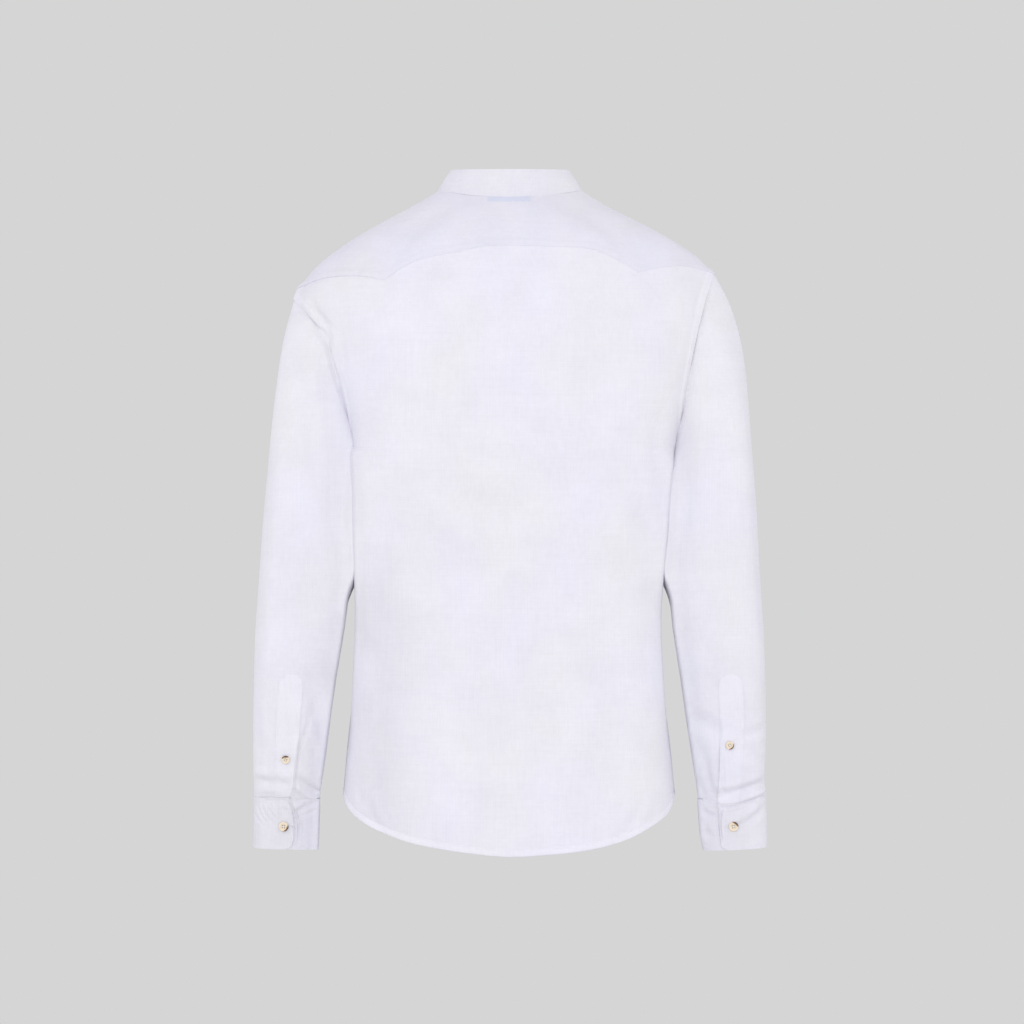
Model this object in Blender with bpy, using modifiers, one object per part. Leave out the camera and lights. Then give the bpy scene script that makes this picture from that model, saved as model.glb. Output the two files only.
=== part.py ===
# Long-sleeved linen shirt with a stand collar and a pointed back yoke, filled out as if worn.
# Metres, +Z up, the shirt's front faces -Y and its wearer's left is +X.  Tables are in millimetres.
# The origin is on the body's axis, level with the collar seam at the centre back.
import bpy
import bmesh
from math import asin, cos, degrees, pi, radians, sin, sqrt
from mathutils import Matrix, Vector

MM = 0.001
CLOTH = 1.2          # wall of a single piece of cloth
BAND = 1.6           # wall of the collar band and cuffs, two layers and an interlining
STRIP = 1.0          # wall of a placket strip
SEAM = 0.3           # space left where two pieces meet
LAP = 2.1            # how far the upper layer of an overlap stands out

# Body below the arms: height at the centre and at the side, half widths, depths, back and front.
BODY = [
    # zc,    zside, left,  right, yside, back,  front
    (-766.6, -704,  197.5, 195.0, -2,    112,   -112),
    (-700,   -660,  193.6, 191.0, -2,    110.5, -112),
    (-630,   -610,  189.0, 186.0, -2,    107.5, -110),
    (-565,   -555,  185.5, 181.0, -2,    104.5, -108),
    (-500,   -495,  183.0, 178.8, -2,    103,   -106),
    (-440,   -438,  184.5, 183.0, -2,    104,   -107),
    (-385,   -385,  185.8, 187.3, -2,    107.5, -110),
    (-340,   -340,  186.5, 190.8, -2,    112,   -113),
]

# Body beside the armholes: height and depths at the centre, then how far round the section goes.
CHEST = [
    # zc,  back,  front,  kappa
    (-306, 115,   -115,   1.0),
    (-286, 116.5, -115.5, 0.995),
    (-266, 117.5, -115.5, 0.985),
    (-245, 118,   -115,   0.97),
    (-222, 118,   -113,   0.95),
    (-197, 117.5, -109.5, 0.93),
    (-171, 116.5, -104,   0.91),
    (-145, 114,   -96,    0.90),
    (-118, 110.5, -85,    0.90),
    (-58,  97,    -50,    0.90),
]

# Armholes, underarm first: the back edge and the front edge at the same levels as CHEST.
ARMHOLE = {
    "left": {
        "back": [(188, -2, -302), (187.8, 17, -293), (188.5, 37, -277), (191.3, 50, -253),
                 (199, 55, -219), (209.6, 52, -182), (220, 45, -154), (237.5, 32, -135),
                 (256, 10, -117), (252.5, -5, -104.5)],
        "top": [(249.5, -12, -104), (245, -20, -106.5), (240.5, -27, -110.5)],
        "front": [(188, -2, -302), (187.5, -21, -294), (189, -38, -277), (192, -48, -252),
                  (196, -51.5, -224), (201, -51, -196), (208, -47.5, -169), (216.5, -43, -150),
                  (226, -38, -134), (235.5, -33, -117)],
    },
    "right": {
        "back": [(194, -2, -302), (196.5, 18, -293), (199, 39, -274), (203, 52, -246),
                 (208.6, 56, -212), (216, 53, -176), (222.3, 47, -145), (227.8, 38, -121),
                 (234.5, 25, -103.5), (240.5, 9, -88)],
        "top": [(241.5, 1, -86), (240.5, -7, -87.5), (237.5, -16, -92)],
        "front": [(194, -2, -302), (194.5, -21, -294), (196, -38, -277), (198, -48, -252),
                  (201, -51.5, -224), (205, -51, -196), (210.5, -47.5, -169), (217, -42, -147),
                  (224.5, -34, -122), (232.5, -25, -99)],
    },
}

# Hem height across the back and front, by the share of the half width.
BACK_HEM = {
    "left": [(0, -769), (0.176, -766.5), (0.294, -763.5), (0.4, -760.5), (0.618, -751.5),
             (0.743, -742.5), (0.84, -734), (0.908, -726), (0.954, -718), (1, -704)],
    "right": [(0, -769), (0.13, -768), (0.3, -765.5), (0.494, -760.5), (0.674, -751.5),
              (0.783, -742.5), (0.863, -734), (0.926, -726), (0.966, -718), (1, -704)],
}
FRONT_HEM = [(0, -748), (0.2, -746.5), (0.4, -742), (0.6, -735), (0.8, -723), (0.92, -712),
             (1, -704)]

# Back yoke seam, height by distance from the centre; the deepest place is the yoke's point.
YOKE_SEAM = {
    "left": [(0, -58.6), (34, -59.7), (69, -68), (95, -71.5), (111, -75), (119, -80.5),
             (133, -92), (145.6, -99), (156, -96.5), (166, -94), (189, -92.5), (214, -93),
             (234, -97.5), (252.5, -104.5)],
    "right": [(0, -58.6), (35, -59.8), (69, -60.5), (97, -62.6), (116, -70), (131, -78.5),
              (149.5, -89.5), (167, -84.5), (191, -80.6), (211, -80.6), (224, -83),
              (240.5, -88)],
}
YOKE_POINT = {"left": 0.58, "right": 0.622}
YOKE_COLUMNS = [0, 0.13, 0.26, 0.385, 0.49, 0.6, 0.70, 0.79, 0.87, 0.94, 1]
YOKE_ROWS = 6

# Neck seam: angle from the centre back and height.
NECK_WIDE, NECK_MIDDLE, NECK_DEEP = 85, 5, 55
NECK_RISE = [(0, 0), (30, 2.6), (60, 8.5), (90, 11.6), (110, 5), (128, -8), (150, -35),
             (165, -51), (180, -57), (195, -51)]
YOKE_FRONT_ANGLE = 128
YOKE_BACK_ANGLE = {"left": 92, "right": 84}
SHOULDER_RISE = {"left": (-0.5, 0.02, 0.87), "right": (-0.62, 0.02, 0.78)}
SLEEVE_LEAVE = {"left": (0.06, 0.14), "right": (0.18, 0.32)}  # outward: at the underarm, more on top

# Collar band: angle from the centre back, height of its top edge, and how far it leans in.
COLLAR_TOP = [(0, 33.5), (30, 34), (60, 35), (90, 35.3), (110, 30), (128, 19), (150, -6),
              (165, -21), (180, -27), (195, -21)]
COLLAR_LEAN = [(0, 6), (45, 9), (90, 14.5), (130, 8), (165, 3.4), (180, 3), (195, 3.4)]
COLLAR_CORNER = 9        # degrees over which each end is rounded off

FRONT_EDGE = 15          # half width of the button placket
FRONT_TOP = [-15, 0, 15, 33, 51]
FRONT_TURN = [12, 24, 35, 46, 57, 67, 76, 84, 90]

# Sleeves below the arm: height, outer and inner side, then fore and aft middle and half depth.
SLEEVE = {
    "left": [
        (-330, 287.5, 187.6, 2, 63), (-385, 292.5, 186.5, 1, 64), (-440, 296.5, 185.2, 0, 63),
        (-475, 299.5, 191, -2, 62), (-521, 302.8, 198.5, -4, 60.5), (-568, 304.2, 206.5, -7, 58),
        (-616, 305.2, 213.8, -10, 56), (-655, 305.2, 219, -12.5, 53.5), (-685, 304.6, 223.6, -14, 50),
        (-700, 304.4, 225.6, -15, 44.5), (-708, 304.4, 226.4, -15.5, 41),
    ],
    "right": [
        (-330, 288.5, 191.9, 2, 63), (-385, 292.5, 188.0, 1, 64), (-440, 295.6, 183.8, 0, 63),
        (-475, 298, 188.4, -2, 62), (-521, 300.8, 194.8, -4, 60.5), (-568, 303, 202.5, -7, 58),
        (-616, 304, 209.8, -10, 56), (-655, 303.6, 216, -12.5, 53.5), (-685, 302, 220.8, -14, 49.5),
        (-700, 303.6, 223, -15, 44.5), (-708, 303.8, 224.2, -15.5, 41),
    ],
}
CAP_LEVELS = 5           # rings between the armhole and the first row of SLEEVE

CUFF = {
    # top and bottom: height, outer side, inner side, fore and aft middle, half depth
    "left": [(-708.3, 304.9, 226.0, -15.5, 41.4), (-739, 304.9, 227.2, -17, 40.6),
             (-768, 305.4, 228.2, -18, 40)],
    "right": [(-708.3, 304.2, 223.8, -15.5, 41.4), (-739, 305.4, 225.5, -17, 40.6),
              (-768, 306.0, 229.2, -18, 40)],
}
CUFF_EDGE = {"left": 105, "right": 118}      # where the upper end stops, degrees from the outside
CUFF_UNDER = 34
CUFF_CORNER = 12

# Sleeve plackets: height, then the two edges in degrees round the sleeve from its outer side.
PLACKET = {
    "left": [(-557, 88, 88), (-568, 71, 105), (-592, 70.5, 105.5), (-616, 70.5, 105.5),
             (-655, 71, 106), (-685, 72, 105.5), (-700, 72.5, 105), (-706.5, 72.5, 105)],
    "right": [(-557, 83, 83), (-568, 66, 99), (-592, 66.5, 100), (-616, 67.5, 101.5),
              (-655, 70.5, 105.5), (-685, 75, 111), (-700, 78, 115.5), (-706.5, 80, 117)],
}

BUTTON = {
    # radius, thickness
    "large": (5.8, 2.6),
    "small": (4.9, 2.3),
}
FRONT_BUTTONS = [-96, -181, -266, -351, -436, -521, -606]


def clear():
    for item in list(bpy.data.objects):
        bpy.data.objects.remove(item)
    for group in list(bpy.data.collections):
        bpy.data.collections.remove(group)


def material(name, colour, roughness):
    made = bpy.data.materials.new(name)
    made.use_nodes = True
    shader = made.node_tree.nodes["Principled BSDF"]
    shader.inputs["Base Color"].default_value = (*colour, 1)
    shader.inputs["Roughness"].default_value = roughness
    return made


def curve(table, at, column=1):
    # smooth interpolation of one column of a table whose first column rises or falls steadily
    rows = sorted(table, key=lambda row: row[0])
    keys = [row[0] for row in rows]
    values = [row[column] for row in rows]
    if at <= keys[0]:
        return values[0]
    if at >= keys[-1]:
        return values[-1]
    i = max(k for k in range(len(keys) - 1) if keys[k] <= at)
    span = keys[i + 1] - keys[i]
    t = (at - keys[i]) / span
    slope = [0, 0]
    for end, k in enumerate((i, i + 1)):
        low, high = max(k - 1, 0), min(k + 1, len(keys) - 1)
        slope[end] = (values[high] - values[low]) / (keys[high] - keys[low]) * span
    return hermite(values[i], slope[0], values[i + 1], slope[1], t)


def hermite(a, slope_a, b, slope_b, t):
    h = t * t * (3 - 2 * t)
    return a * (1 - h) + b * h + slope_a * t * (1 - t) ** 2 - slope_b * t * t * (1 - t)


def through(points, i, t):
    # the place t of the way from point i to the next on a smooth line through all the points
    before, after = points[max(i - 1, 0)], points[min(i + 2, len(points) - 1)]
    a, b = points[i], points[i + 1]
    return hermite(a, (b - before) / 2, b, (after - a) / 2, t)


def bow(q, power, kappa=1.0):
    # a rounded section's depth at the share q of its half width, 1 at the middle and 0 at its edge
    rest = (1 - kappa ** power) ** (1 / power) if kappa < 1 else 0
    depth = max(1 - (kappa * min(q, 1)) ** power, 0) ** (1 / power)
    return (depth - rest) / (1 - rest)


def side_of(sign):
    return "left" if sign > 0 else "right"


def step(t):
    t = min(max(t, 0), 1)
    return t * t * (3 - 2 * t)


# ------------------------------------------------------------------ back, fronts and yoke

def level_edge(level, sign, face):
    side = side_of(sign)
    if level < len(BODY):
        row = BODY[level]
        return Vector((sign * (row[2] if sign > 0 else row[3]), row[4], row[1]))
    x, y, z = ARMHOLE[side][face][level - len(BODY)]
    return Vector((sign * x, y, z))


def level_middle(level, face):
    # height and depth at the centre, and how far round the section goes
    pick = {"back": 0, "front": 1}[face]
    if level < len(BODY):
        row = BODY[level]
        return row[0], row[5 + pick], 1.0
    row = CHEST[level - len(BODY)]
    return row[0], row[1 + pick], row[3]


LEVELS = len(BODY) + len(CHEST)
SPLIT_BELOW = len(BODY) - 1


def upward(level):
    # 0 below the arms, rising to 1 at the yoke
    return step((level - len(BODY)) / (len(CHEST) - 1))


def back_share(column, level, sign):
    # share of the half width at one of the columns either side of the centre
    count = len(YOKE_COLUMNS) - 1
    low = sin(pi / 2 * column / count)
    high = YOKE_COLUMNS[column]
    if 0 < column < count:
        high += (YOKE_POINT[side_of(sign)] - 0.6) * (1 - abs(column - 5) / 5)
    return low + (high - low) * upward(level)


def back_point(column, level, sign):
    edge = level_edge(level, sign, "back")
    zc, deep, kappa = level_middle(level, "back")
    q = back_share(column, level, sign)
    x = edge.x * q
    y = edge.y + (deep - edge.y) * bow(q, 3.3 - 0.6 * upward(level), kappa)
    z = zc + (edge.z - zc) * q ** 2.5
    if level == 0:
        z = curve(BACK_HEM[side_of(sign)], q)
    elif level == LEVELS - 1:
        # where the seam dips the back is deeper, as it is at the level below
        seam = curve(YOKE_SEAM[side_of(sign)], abs(x))
        below = back_point(column, level - 1, sign)
        y += (below.y - y) * (z - seam) / (z - below.z)
        z = seam
    return Vector((x, y, z))


def resample(columns):
    # a row between each two levels below the arms, none above
    rows = []
    for level in range(LEVELS - 1):
        rows.append([line[level] for line in columns])
        if level < SPLIT_BELOW:
            rows.append([through(line, level, 0.5) for line in columns])
    rows.append([line[-1] for line in columns])
    return rows


def back_grid():
    count = len(YOKE_COLUMNS) - 1
    columns = []
    for column in range(-count, count + 1):
        sign = 1 if column > 0 else -1
        columns.append([back_point(abs(column), level, sign) for level in range(LEVELS)])
    return resample(columns)


def neck_point(angle):
    a = radians(angle)
    z = curve(NECK_RISE, abs(angle))
    return Vector((NECK_WIDE * sin(a), NECK_MIDDLE + NECK_DEEP * cos(a), z))


def neck_slope(angle):
    # the way the yoke climbs as it reaches the neck
    a = radians(angle)
    way = Vector((-0.85 * sin(a), -0.7 * cos(a), 0.6 + 0.12 * cos(a) ** 2))
    return way.normalized()


def yoke_rim():
    # points round the yoke's outer edge, left front to right front, with the way each one rises
    rim = []
    for sign in (1, -1):
        hole = ARMHOLE[side_of(sign)]
        points = [hole["front"][-1], *reversed(hole["top"]), hole["back"][-1]]
        corner = YOKE_BACK_ANGLE[side_of(sign)]
        part = []
        for i, (x, y, z) in enumerate(points[:-1]):
            t = i / (len(points) - 1)
            angle = YOKE_FRONT_ANGLE + (corner - YOKE_FRONT_ANGLE) * t
            rise = Vector(SHOULDER_RISE[side_of(sign)])
            rise.x *= sign
            rise.y -= 0.12 * (1 - t)
            part.append((Vector((sign * x, y, z)), rise.normalized(), sign * angle))
        rim.append(part)
    top = back_grid()[-1]
    middle = []
    for i, point in enumerate(top):
        share = 1 - i / (len(top) - 1) * 2
        sign = -1 if share > 0 else 1
        corner = YOKE_BACK_ANGLE[side_of(sign)]
        angle = -corner * abs(share) if sign < 0 else corner * abs(share)
        along = Vector((0, -0.38, 0.92))
        shoulder = Vector(SHOULDER_RISE[side_of(sign)])
        shoulder.x *= sign
        middle.append((point, along.lerp(shoulder, share * share).normalized(), angle))
    return rim[0] + list(reversed(middle)) + list(reversed(rim[1]))


def yoke_grid():
    columns = []
    for point, rise, angle in yoke_rim():
        neck = neck_point(angle)
        reach = (neck - point).length
        line = [hermite(point, rise * reach * 0.92, neck, neck_slope(angle) * reach * 0.87,
                        j / YOKE_ROWS) for j in range(YOKE_ROWS + 1)]
        columns.append(line)
    return [[line[j] for line in columns] for j in range(YOKE_ROWS + 1)]


def front_top(sign):
    # the front's upper edge: along the neck from past the centre, then the yoke's front seam
    line = []
    for x in FRONT_TOP:
        line.append(neck_point(180 - degrees(asin(x / NECK_WIDE))))
    seam = [row[0] if sign > 0 else row[-1] for row in yoke_grid()]
    seam = list(reversed(seam))
    return [Vector((sign * p.x, p.y, p.z)) for p in line] + seam


def front_x(column, level, edge_x, top):
    # distance from the centre, the same side as the front counted positive
    if column < 3:
        return (column - 1) * FRONT_EDGE
    low = sin(radians(FRONT_TURN[column - 3]))
    high = (abs(top[column].x) - FRONT_EDGE) / (abs(top[-1].x) - FRONT_EDGE)
    q = low + (high - low) * upward(level)
    return FRONT_EDGE + (edge_x - FRONT_EDGE) * q


def lift(x):
    # the left front lies over the right near the centre
    return LAP * (1 - step((x - 20) / 30))


def front_point(column, level, sign, top):
    if level == LEVELS - 1:
        point = top[column].copy()
        x = point.x * sign
    else:
        edge = level_edge(level, sign, "front")
        zc, deep, kappa = level_middle(level, "front")
        x = front_x(column, level, abs(edge.x), top)
        q = abs(x) / abs(edge.x)
        y = edge.y + (deep - edge.y) * bow(q, 2.8 - 0.4 * upward(level), kappa)
        z = zc + (edge.z - zc) * q ** 2.5
        if level == 0:
            z = curve(FRONT_HEM, q)
        point = Vector((sign * x, y, z))
    if sign > 0:
        point.y -= lift(x)
    return point


def front_grid(sign):
    top = front_top(sign)
    columns = []
    for column in range(len(top)):
        columns.append([front_point(column, level, sign, top) for level in range(LEVELS)])
    return resample(columns)


# ------------------------------------------------------------------ sleeves and cuffs

def ring_point(row, angle, sign, out=0.0):
    # angle from the sleeve's outer side towards the back
    z, outer, inner, middle, deep = row
    a = radians(angle)
    power = 3.3 if sin(a) > 0 else 2.7      # pressed flatter than an oval
    rise = (1 - min(abs(cos(a)), 1) ** power) ** (1 / power)
    x = (outer + inner) / 2 + ((outer - inner) / 2 + out) * cos(a)
    y = middle + (deep + out) * (rise if sin(a) > 0 else -rise)
    return Vector((sign * x, y, z))


def table_row(table, z):
    return [z] + [curve(table, z, column) for column in range(1, 5)]


def sleeve_rings(side):
    # the sleeve's own rings below the arm, one between each two rows of its table higher up
    table = SLEEVE[side]
    rings = [table_row(table, table[0][0])]
    for i in range(1, len(table)):
        for t in ((0.5, 1.0) if i < len(table) - 4 else (1.0,)):
            rings.append(table_row(table, table[i - 1][0] + (table[i][0] - table[i - 1][0]) * t))
    return rings


def between_rings(side, z):
    # a ring lying on the sleeve's flat facets
    rings = sleeve_rings(side)
    for above, below in zip(rings, rings[1:]):
        if below[0] <= z:
            t = (above[0] - z) / (above[0] - below[0])
            return [a + (b - a) * t for a, b in zip(above, below)]
    return rings[-1]


def armhole_stations(side, sign):
    hole = ARMHOLE[side]
    loop = hole["back"] + hole["top"] + list(reversed(hole["front"]))[:-1]
    points = [Vector((sign * x, y, z)) for x, y, z in loop]
    top = len(hole["back"]) + 1 if side == "right" else len(hole["back"])
    lengths = [0.0]
    for a, b in zip(points, points[1:] + points[:1]):
        lengths.append(lengths[-1] + (b - a).length)
    angles = []
    for i in range(len(points)):
        if i <= top:
            angles.append(180 - 180 * lengths[i] / lengths[top])
        else:
            angles.append(-180 * (lengths[i] - lengths[top]) / (lengths[-1] - lengths[top]))
    return points, angles


def sleeve_grid(sign):
    side = side_of(sign)
    table = SLEEVE[side]
    points, angles = armhole_stations(side, sign)
    rows = [points]
    for j in range(1, CAP_LEVELS + 1):
        row = []
        for point, angle in zip(points, angles):
            t = j / CAP_LEVELS
            end = ring_point(table[0], angle, sign)
            reach = (end - point).length
            high = (1 + cos(radians(angle))) / 2
            low, more = SLEEVE_LEAVE[side]
            leave = Vector((sign * (low + more * high), 0.22 * sin(radians(angle)), -0.72))
            arrive = Vector((sign * 0.10 * cos(radians(angle)), 0, -1))
            row.append(hermite(point, leave.normalized() * reach * 0.95, end,
                               arrive.normalized() * reach * 0.95, t))
        rows.append(row)
    for ring in sleeve_rings(side)[1:]:
        rows.append([ring_point(ring, angle, sign) for angle in angles])
    return rows


def lap_out(into):
    # how far a layer stands out, by the degrees back from its end
    return LAP * (1 - step((into - 46) / 40)) + 0.2


def cuff_grid(sign):
    side = side_of(sign)
    first = CUFF_EDGE[side]
    total = 360 + CUFF_UNDER
    steps = [0, 3, 6, 10, 15, 21, 28, 38, 50, 64]
    steps += [80 + 17 * k for k in range(14)]
    steps += [318, 334, 348, 360, 371, 383, total]
    rows = []
    for table in CUFF[side]:
        row = []
        for into in steps:
            point = ring_point(table, first - into, sign, lap_out(into))
            row.append(point)
        rows.append(row)
    low, mid = rows[-1], rows[-2]
    round_end = CUFF_CORNER / 40 * 180 / pi
    for i, into in enumerate(steps):
        if into < round_end:
            away = 1 - into / round_end
            raised = (1 - sqrt(max(1 - away * away, 0))) * CUFF_CORNER
            low[i] = low[i].lerp(mid[i], raised / (low[i] - mid[i]).length)
    return rows


def placket_grid(sign):
    side = side_of(sign)
    rows = []
    for z, edge_a, edge_b in PLACKET[side]:
        ring = between_rings(side, z)
        if edge_a == edge_b:
            edge_a, edge_b = edge_a - 2, edge_b + 2
        row = [ring_point(ring, edge_a + (edge_b - edge_a) * k / 4, sign, STRIP + 0.5)
               for k in range(5)]
        rows.append(row)
    apex = rows[0]
    for k, point in enumerate(apex):
        point.z -= 0.9 * abs(k - 2)
    return rows


def seam_angles():
    # the neck seam's own stations, from the left front's edge round to the right front's
    front = [180 - degrees(asin(x / NECK_WIDE)) for x in FRONT_TOP]
    yoke = [angle for point, rise, angle in yoke_rim()]
    return front + yoke + [-angle for angle in reversed(front)]


def seam_point(angles, at):
    # a place on the neck seam's straight facets, at a whole or part station number
    i = min(int(at), len(angles) - 2)
    return neck_point(angles[i]).lerp(neck_point(angles[i + 1]), at - i)


def collar_grid():
    angles = seam_angles()
    last = len(angles) - 1
    ends = [0, 0.12, 0.3, 0.55]
    stations = ends + list(range(1, last)) + [last - e for e in reversed(ends)]
    rows = []
    for share in (0, 0.5, 0.85, 1):
        row = []
        for at in stations:
            base = seam_point(angles, at)
            i = min(int(at), last - 1)
            angle = angles[i] + (angles[i + 1] - angles[i]) * (at - i)
            height = (curve(COLLAR_TOP, abs(angle)) - base.z - SEAM) * share * corner_share(angle)
            lean = curve(COLLAR_LEAN, abs(angle)) * (share * corner_share(angle)) ** 1.2
            out = Vector((sin(radians(angle)), cos(radians(angle)), 0))
            stand = LAP * step((angle - 128) / 30)
            clear_of_seam = SEAM + 0.45 * stand / LAP * 2
            row.append(base + Vector((0, 0, clear_of_seam + height)) + out * (stand - lean))
        rows.append(row)
    return rows


def corner_share(angle):
    # the band's ends are rounded off at the top
    end = 180 + degrees(asin(FRONT_EDGE / NECK_WIDE))
    near = (end - abs(angle)) / COLLAR_CORNER
    if near >= 1:
        return 1
    return 0.62 + 0.38 * sqrt(max(1 - (1 - near) ** 2, 0))


# ------------------------------------------------------------------ solids

def key(point):
    return tuple(round(v, 3) for v in point)


def face_normals(grid, closed, flip):
    # outward normals of the grid's quads, added up at each point
    found = []
    height, width = len(grid), len(grid[0])
    for j in range(height - 1):
        for i in range(width if closed else width - 1):
            k = (i + 1) % width
            a, b, c, d = grid[j][i], grid[j][k], grid[j + 1][k], grid[j + 1][i]
            normal = (c - a).cross(d - b)
            if normal.length == 0:
                continue
            normal = normal.normalized() * (-1 if flip else 1)
            for point in (a, b, c, d):
                found.append((key(point), normal))
    return found


def shared_normals(sheets):
    total = {}
    for grid, closed, flip in sheets:
        for place, normal in face_normals(grid, closed, flip):
            total[place] = total.get(place, Vector((0, 0, 0))) + normal
    return {place: value.normalized() for place, value in total.items()}


def wall_ways(grid, closed, flip, shared):
    # the way each point's wall stands: shared along a gentle seam, the sheet's own in a sharp fold
    own = shared_normals([(grid, closed, flip)])
    ways = {}
    for place, normal in own.items():
        ways[place] = shared[place] if normal.dot(shared[place]) > 0.8 else normal
    return ways


def draw_back(grid, closed, amount):
    # every border stands half a seam back from the line it shares with its neighbour
    moved = [[point.copy() for point in row] for row in grid]
    height, width = len(grid), len(grid[0])
    for i in range(width):
        moved[0][i] += (grid[1][i] - grid[0][i]).normalized() * amount
        moved[-1][i] += (grid[-2][i] - grid[-1][i]).normalized() * amount
    if not closed:
        for j in range(height):
            moved[j][0] += (grid[j][1] - grid[j][0]).normalized() * amount
            moved[j][-1] += (grid[j][-2] - grid[j][-1]).normalized() * amount
    return moved


def shell(name, grid, closed, flip, wall, normals, group, cloth):
    # a closed body between the outer grid and the same grid moved in along the shared normals
    outer = draw_back(grid, closed, SEAM / 2)
    height, width = len(grid), len(grid[0])
    ways = wall_ways(grid, closed, flip, normals)
    inner = [[outer[j][i] - ways[key(grid[j][i])] * wall for i in range(width)]
             for j in range(height)]
    work = bmesh.new()
    out = [[work.verts.new(p * MM) for p in row] for row in outer]
    inn = [[work.verts.new(p * MM) for p in row] for row in inner]
    span = range(width if closed else width - 1)
    for j in range(height - 1):
        for i in span:
            k = (i + 1) % width
            work.faces.new((out[j][i], out[j][k], out[j + 1][k], out[j + 1][i]))
            work.faces.new((inn[j + 1][i], inn[j + 1][k], inn[j][k], inn[j][i]))
    for i in span:
        k = (i + 1) % width
        work.faces.new((inn[0][i], inn[0][k], out[0][k], out[0][i]))
        work.faces.new((out[-1][i], out[-1][k], inn[-1][k], inn[-1][i]))
    if not closed:
        for j in range(height - 1):
            work.faces.new((out[j][0], out[j + 1][0], inn[j + 1][0], inn[j][0]))
            work.faces.new((inn[j][-1], inn[j + 1][-1], out[j + 1][-1], out[j][-1]))
    if flip:
        bmesh.ops.reverse_faces(work, faces=work.faces)
    mesh = bpy.data.meshes.new(name)
    work.to_mesh(mesh)
    work.free()
    made = bpy.data.objects.new(name, mesh)
    made.data.materials.append(cloth)
    group.objects.link(made)
    return made


def moved_out(grid, flip, amount):
    # the same grid standing off along its own normals
    normals = shared_normals([(grid, False, flip)])
    return [[point + normals[key(point)] * amount for point in row] for row in grid]


def lone_shell(name, grid, flip, wall, group, cloth):
    normals = shared_normals([(grid, False, flip)])
    return shell(name, grid, False, flip, wall, normals, group, cloth)


def button(name, centre, normal, size, group, colour):
    # a turned disc with a raised rim and four holes, its flat back on the cloth
    radius, thick = BUTTON[size]
    profile = [(0, 0), (radius - 0.6, 0), (radius, 0.6), (radius, thick - 0.5),
               (radius - 0.6, thick), (radius - 1.3, thick - 0.15), (radius * 0.55, thick - 0.8),
               (0, thick - 0.8)]
    mesh = bpy.data.meshes.new(name)
    work = bmesh.new()
    ring = [work.verts.new((x * MM, 0, z * MM)) for x, z in profile]
    for a, b in zip(ring, ring[1:]):
        work.edges.new((a, b))
    work.to_mesh(mesh)
    work.free()
    made = bpy.data.objects.new(name, mesh)
    group.objects.link(made)
    made.data.materials.append(colour)
    turn = made.modifiers.new("turned", "SCREW")
    turn.axis = "Z"
    turn.steps = 24
    turn.render_steps = 24
    turn.use_merge_vertices = True
    turn.merge_threshold = 0.00001
    turn.use_normal_calculate = True
    for k in range(4):
        drill = cutter(name, k, radius)
        cut = made.modifiers.new("hole", "BOOLEAN")
        cut.operation = "DIFFERENCE"
        cut.solver = "EXACT"
        cut.object = drill
    facing = normal.to_track_quat("Z", "Y").to_matrix().to_4x4()
    place = Matrix.Translation(centre * MM) @ facing
    made.matrix_world = place
    for drill in cutters.objects:
        if drill.name.startswith(name + "_hole"):
            drill.matrix_world = place @ drill.matrix_world
    return made


def cutter(name, k, radius):
    a = pi / 4 + k * pi / 2
    reach = radius * 0.24
    mesh = bpy.data.meshes.new(f"{name}_hole_{k}")
    work = bmesh.new()
    bmesh.ops.create_cone(work, cap_ends=True, segments=10, radius1=0.65 * MM,
                          radius2=0.65 * MM, depth=12 * MM)
    work.to_mesh(mesh)
    work.free()
    made = bpy.data.objects.new(f"{name}_hole_{k}", mesh)
    made.hide_render = True
    made.display_type = "WIRE"
    made.matrix_world = Matrix.Translation((reach * cos(a) * MM, reach * sin(a) * MM, 0))
    cutters.objects.link(made)
    return made


def sleeve_place(side, z, angle, out):
    # a point standing off the sleeve or cuff and the way out there
    sign = 1 if side == "left" else -1

    def at(height, turn):
        if height > -708:
            return ring_point(between_rings(side, height), turn, sign, out)
        return ring_point(table_row(CUFF[side], height), turn, sign, out)

    here = at(z, angle)
    normal = (at(z + 4, angle) - here).cross(at(z, angle + 4) - here).normalized()
    return here, normal if normal.y > 0 else -normal


def grid_place(grid, column, z):
    # where a column of a front reaches a height, and the way out there
    line = [row[column] for row in grid]
    i = max(k for k in range(len(line) - 1) if line[k].z <= z)
    climb = line[i + 1] - line[i]
    facing = climb.cross(Vector((1, 0, 0))).normalized()
    return line[i] + climb * ((z - line[i].z) / climb.z), facing if facing.y < 0 else -facing


def label_grid(yoke):
    # a small blank tape inside the back of the neck, lying on the yoke's inner side
    middle = len(yoke[0]) // 2
    pick = slice(middle - 2, middle + 3)
    low, high = yoke[-2][pick], yoke[-1][pick]
    rows = [[a.lerp(b, t) for a, b in zip(low, high)] for t in (0, 0.5, 0.85)]
    for row in rows:
        row[0] = row[0].lerp(row[1], 0.35)
        row[-1] = row[-1].lerp(row[-2], 0.35)
    return moved_out(rows, False, -(CLOTH + 0.4))


clear()
shirt = bpy.data.collections.new("mandarin_collar_shirt")
cutters = bpy.data.collections.new("cutters")
bpy.context.scene.collection.children.link(shirt)
bpy.context.scene.collection.children.link(cutters)

linen = material("linen", (0.80, 0.79, 0.86), 0.9)
horn = material("horn", (0.60, 0.50, 0.38), 0.4)
tape = material("label_tape", (0.55, 0.62, 0.75), 0.8)

back = back_grid()
yoke = yoke_grid()
front_left = front_grid(1)
front_right = front_grid(-1)
sleeve_left = sleeve_grid(1)
sleeve_right = sleeve_grid(-1)
body = [(back, False, True), (yoke, False, False), (front_left, False, False),
        (front_right, False, True), (sleeve_left, True, False), (sleeve_right, True, True)]
normals = shared_normals(body)
for name, sheet in zip(("back", "yoke", "front_left", "front_right", "sleeve_left",
                        "sleeve_right"), body):
    shell(name, *sheet, CLOTH, normals, shirt, linen)

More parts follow.
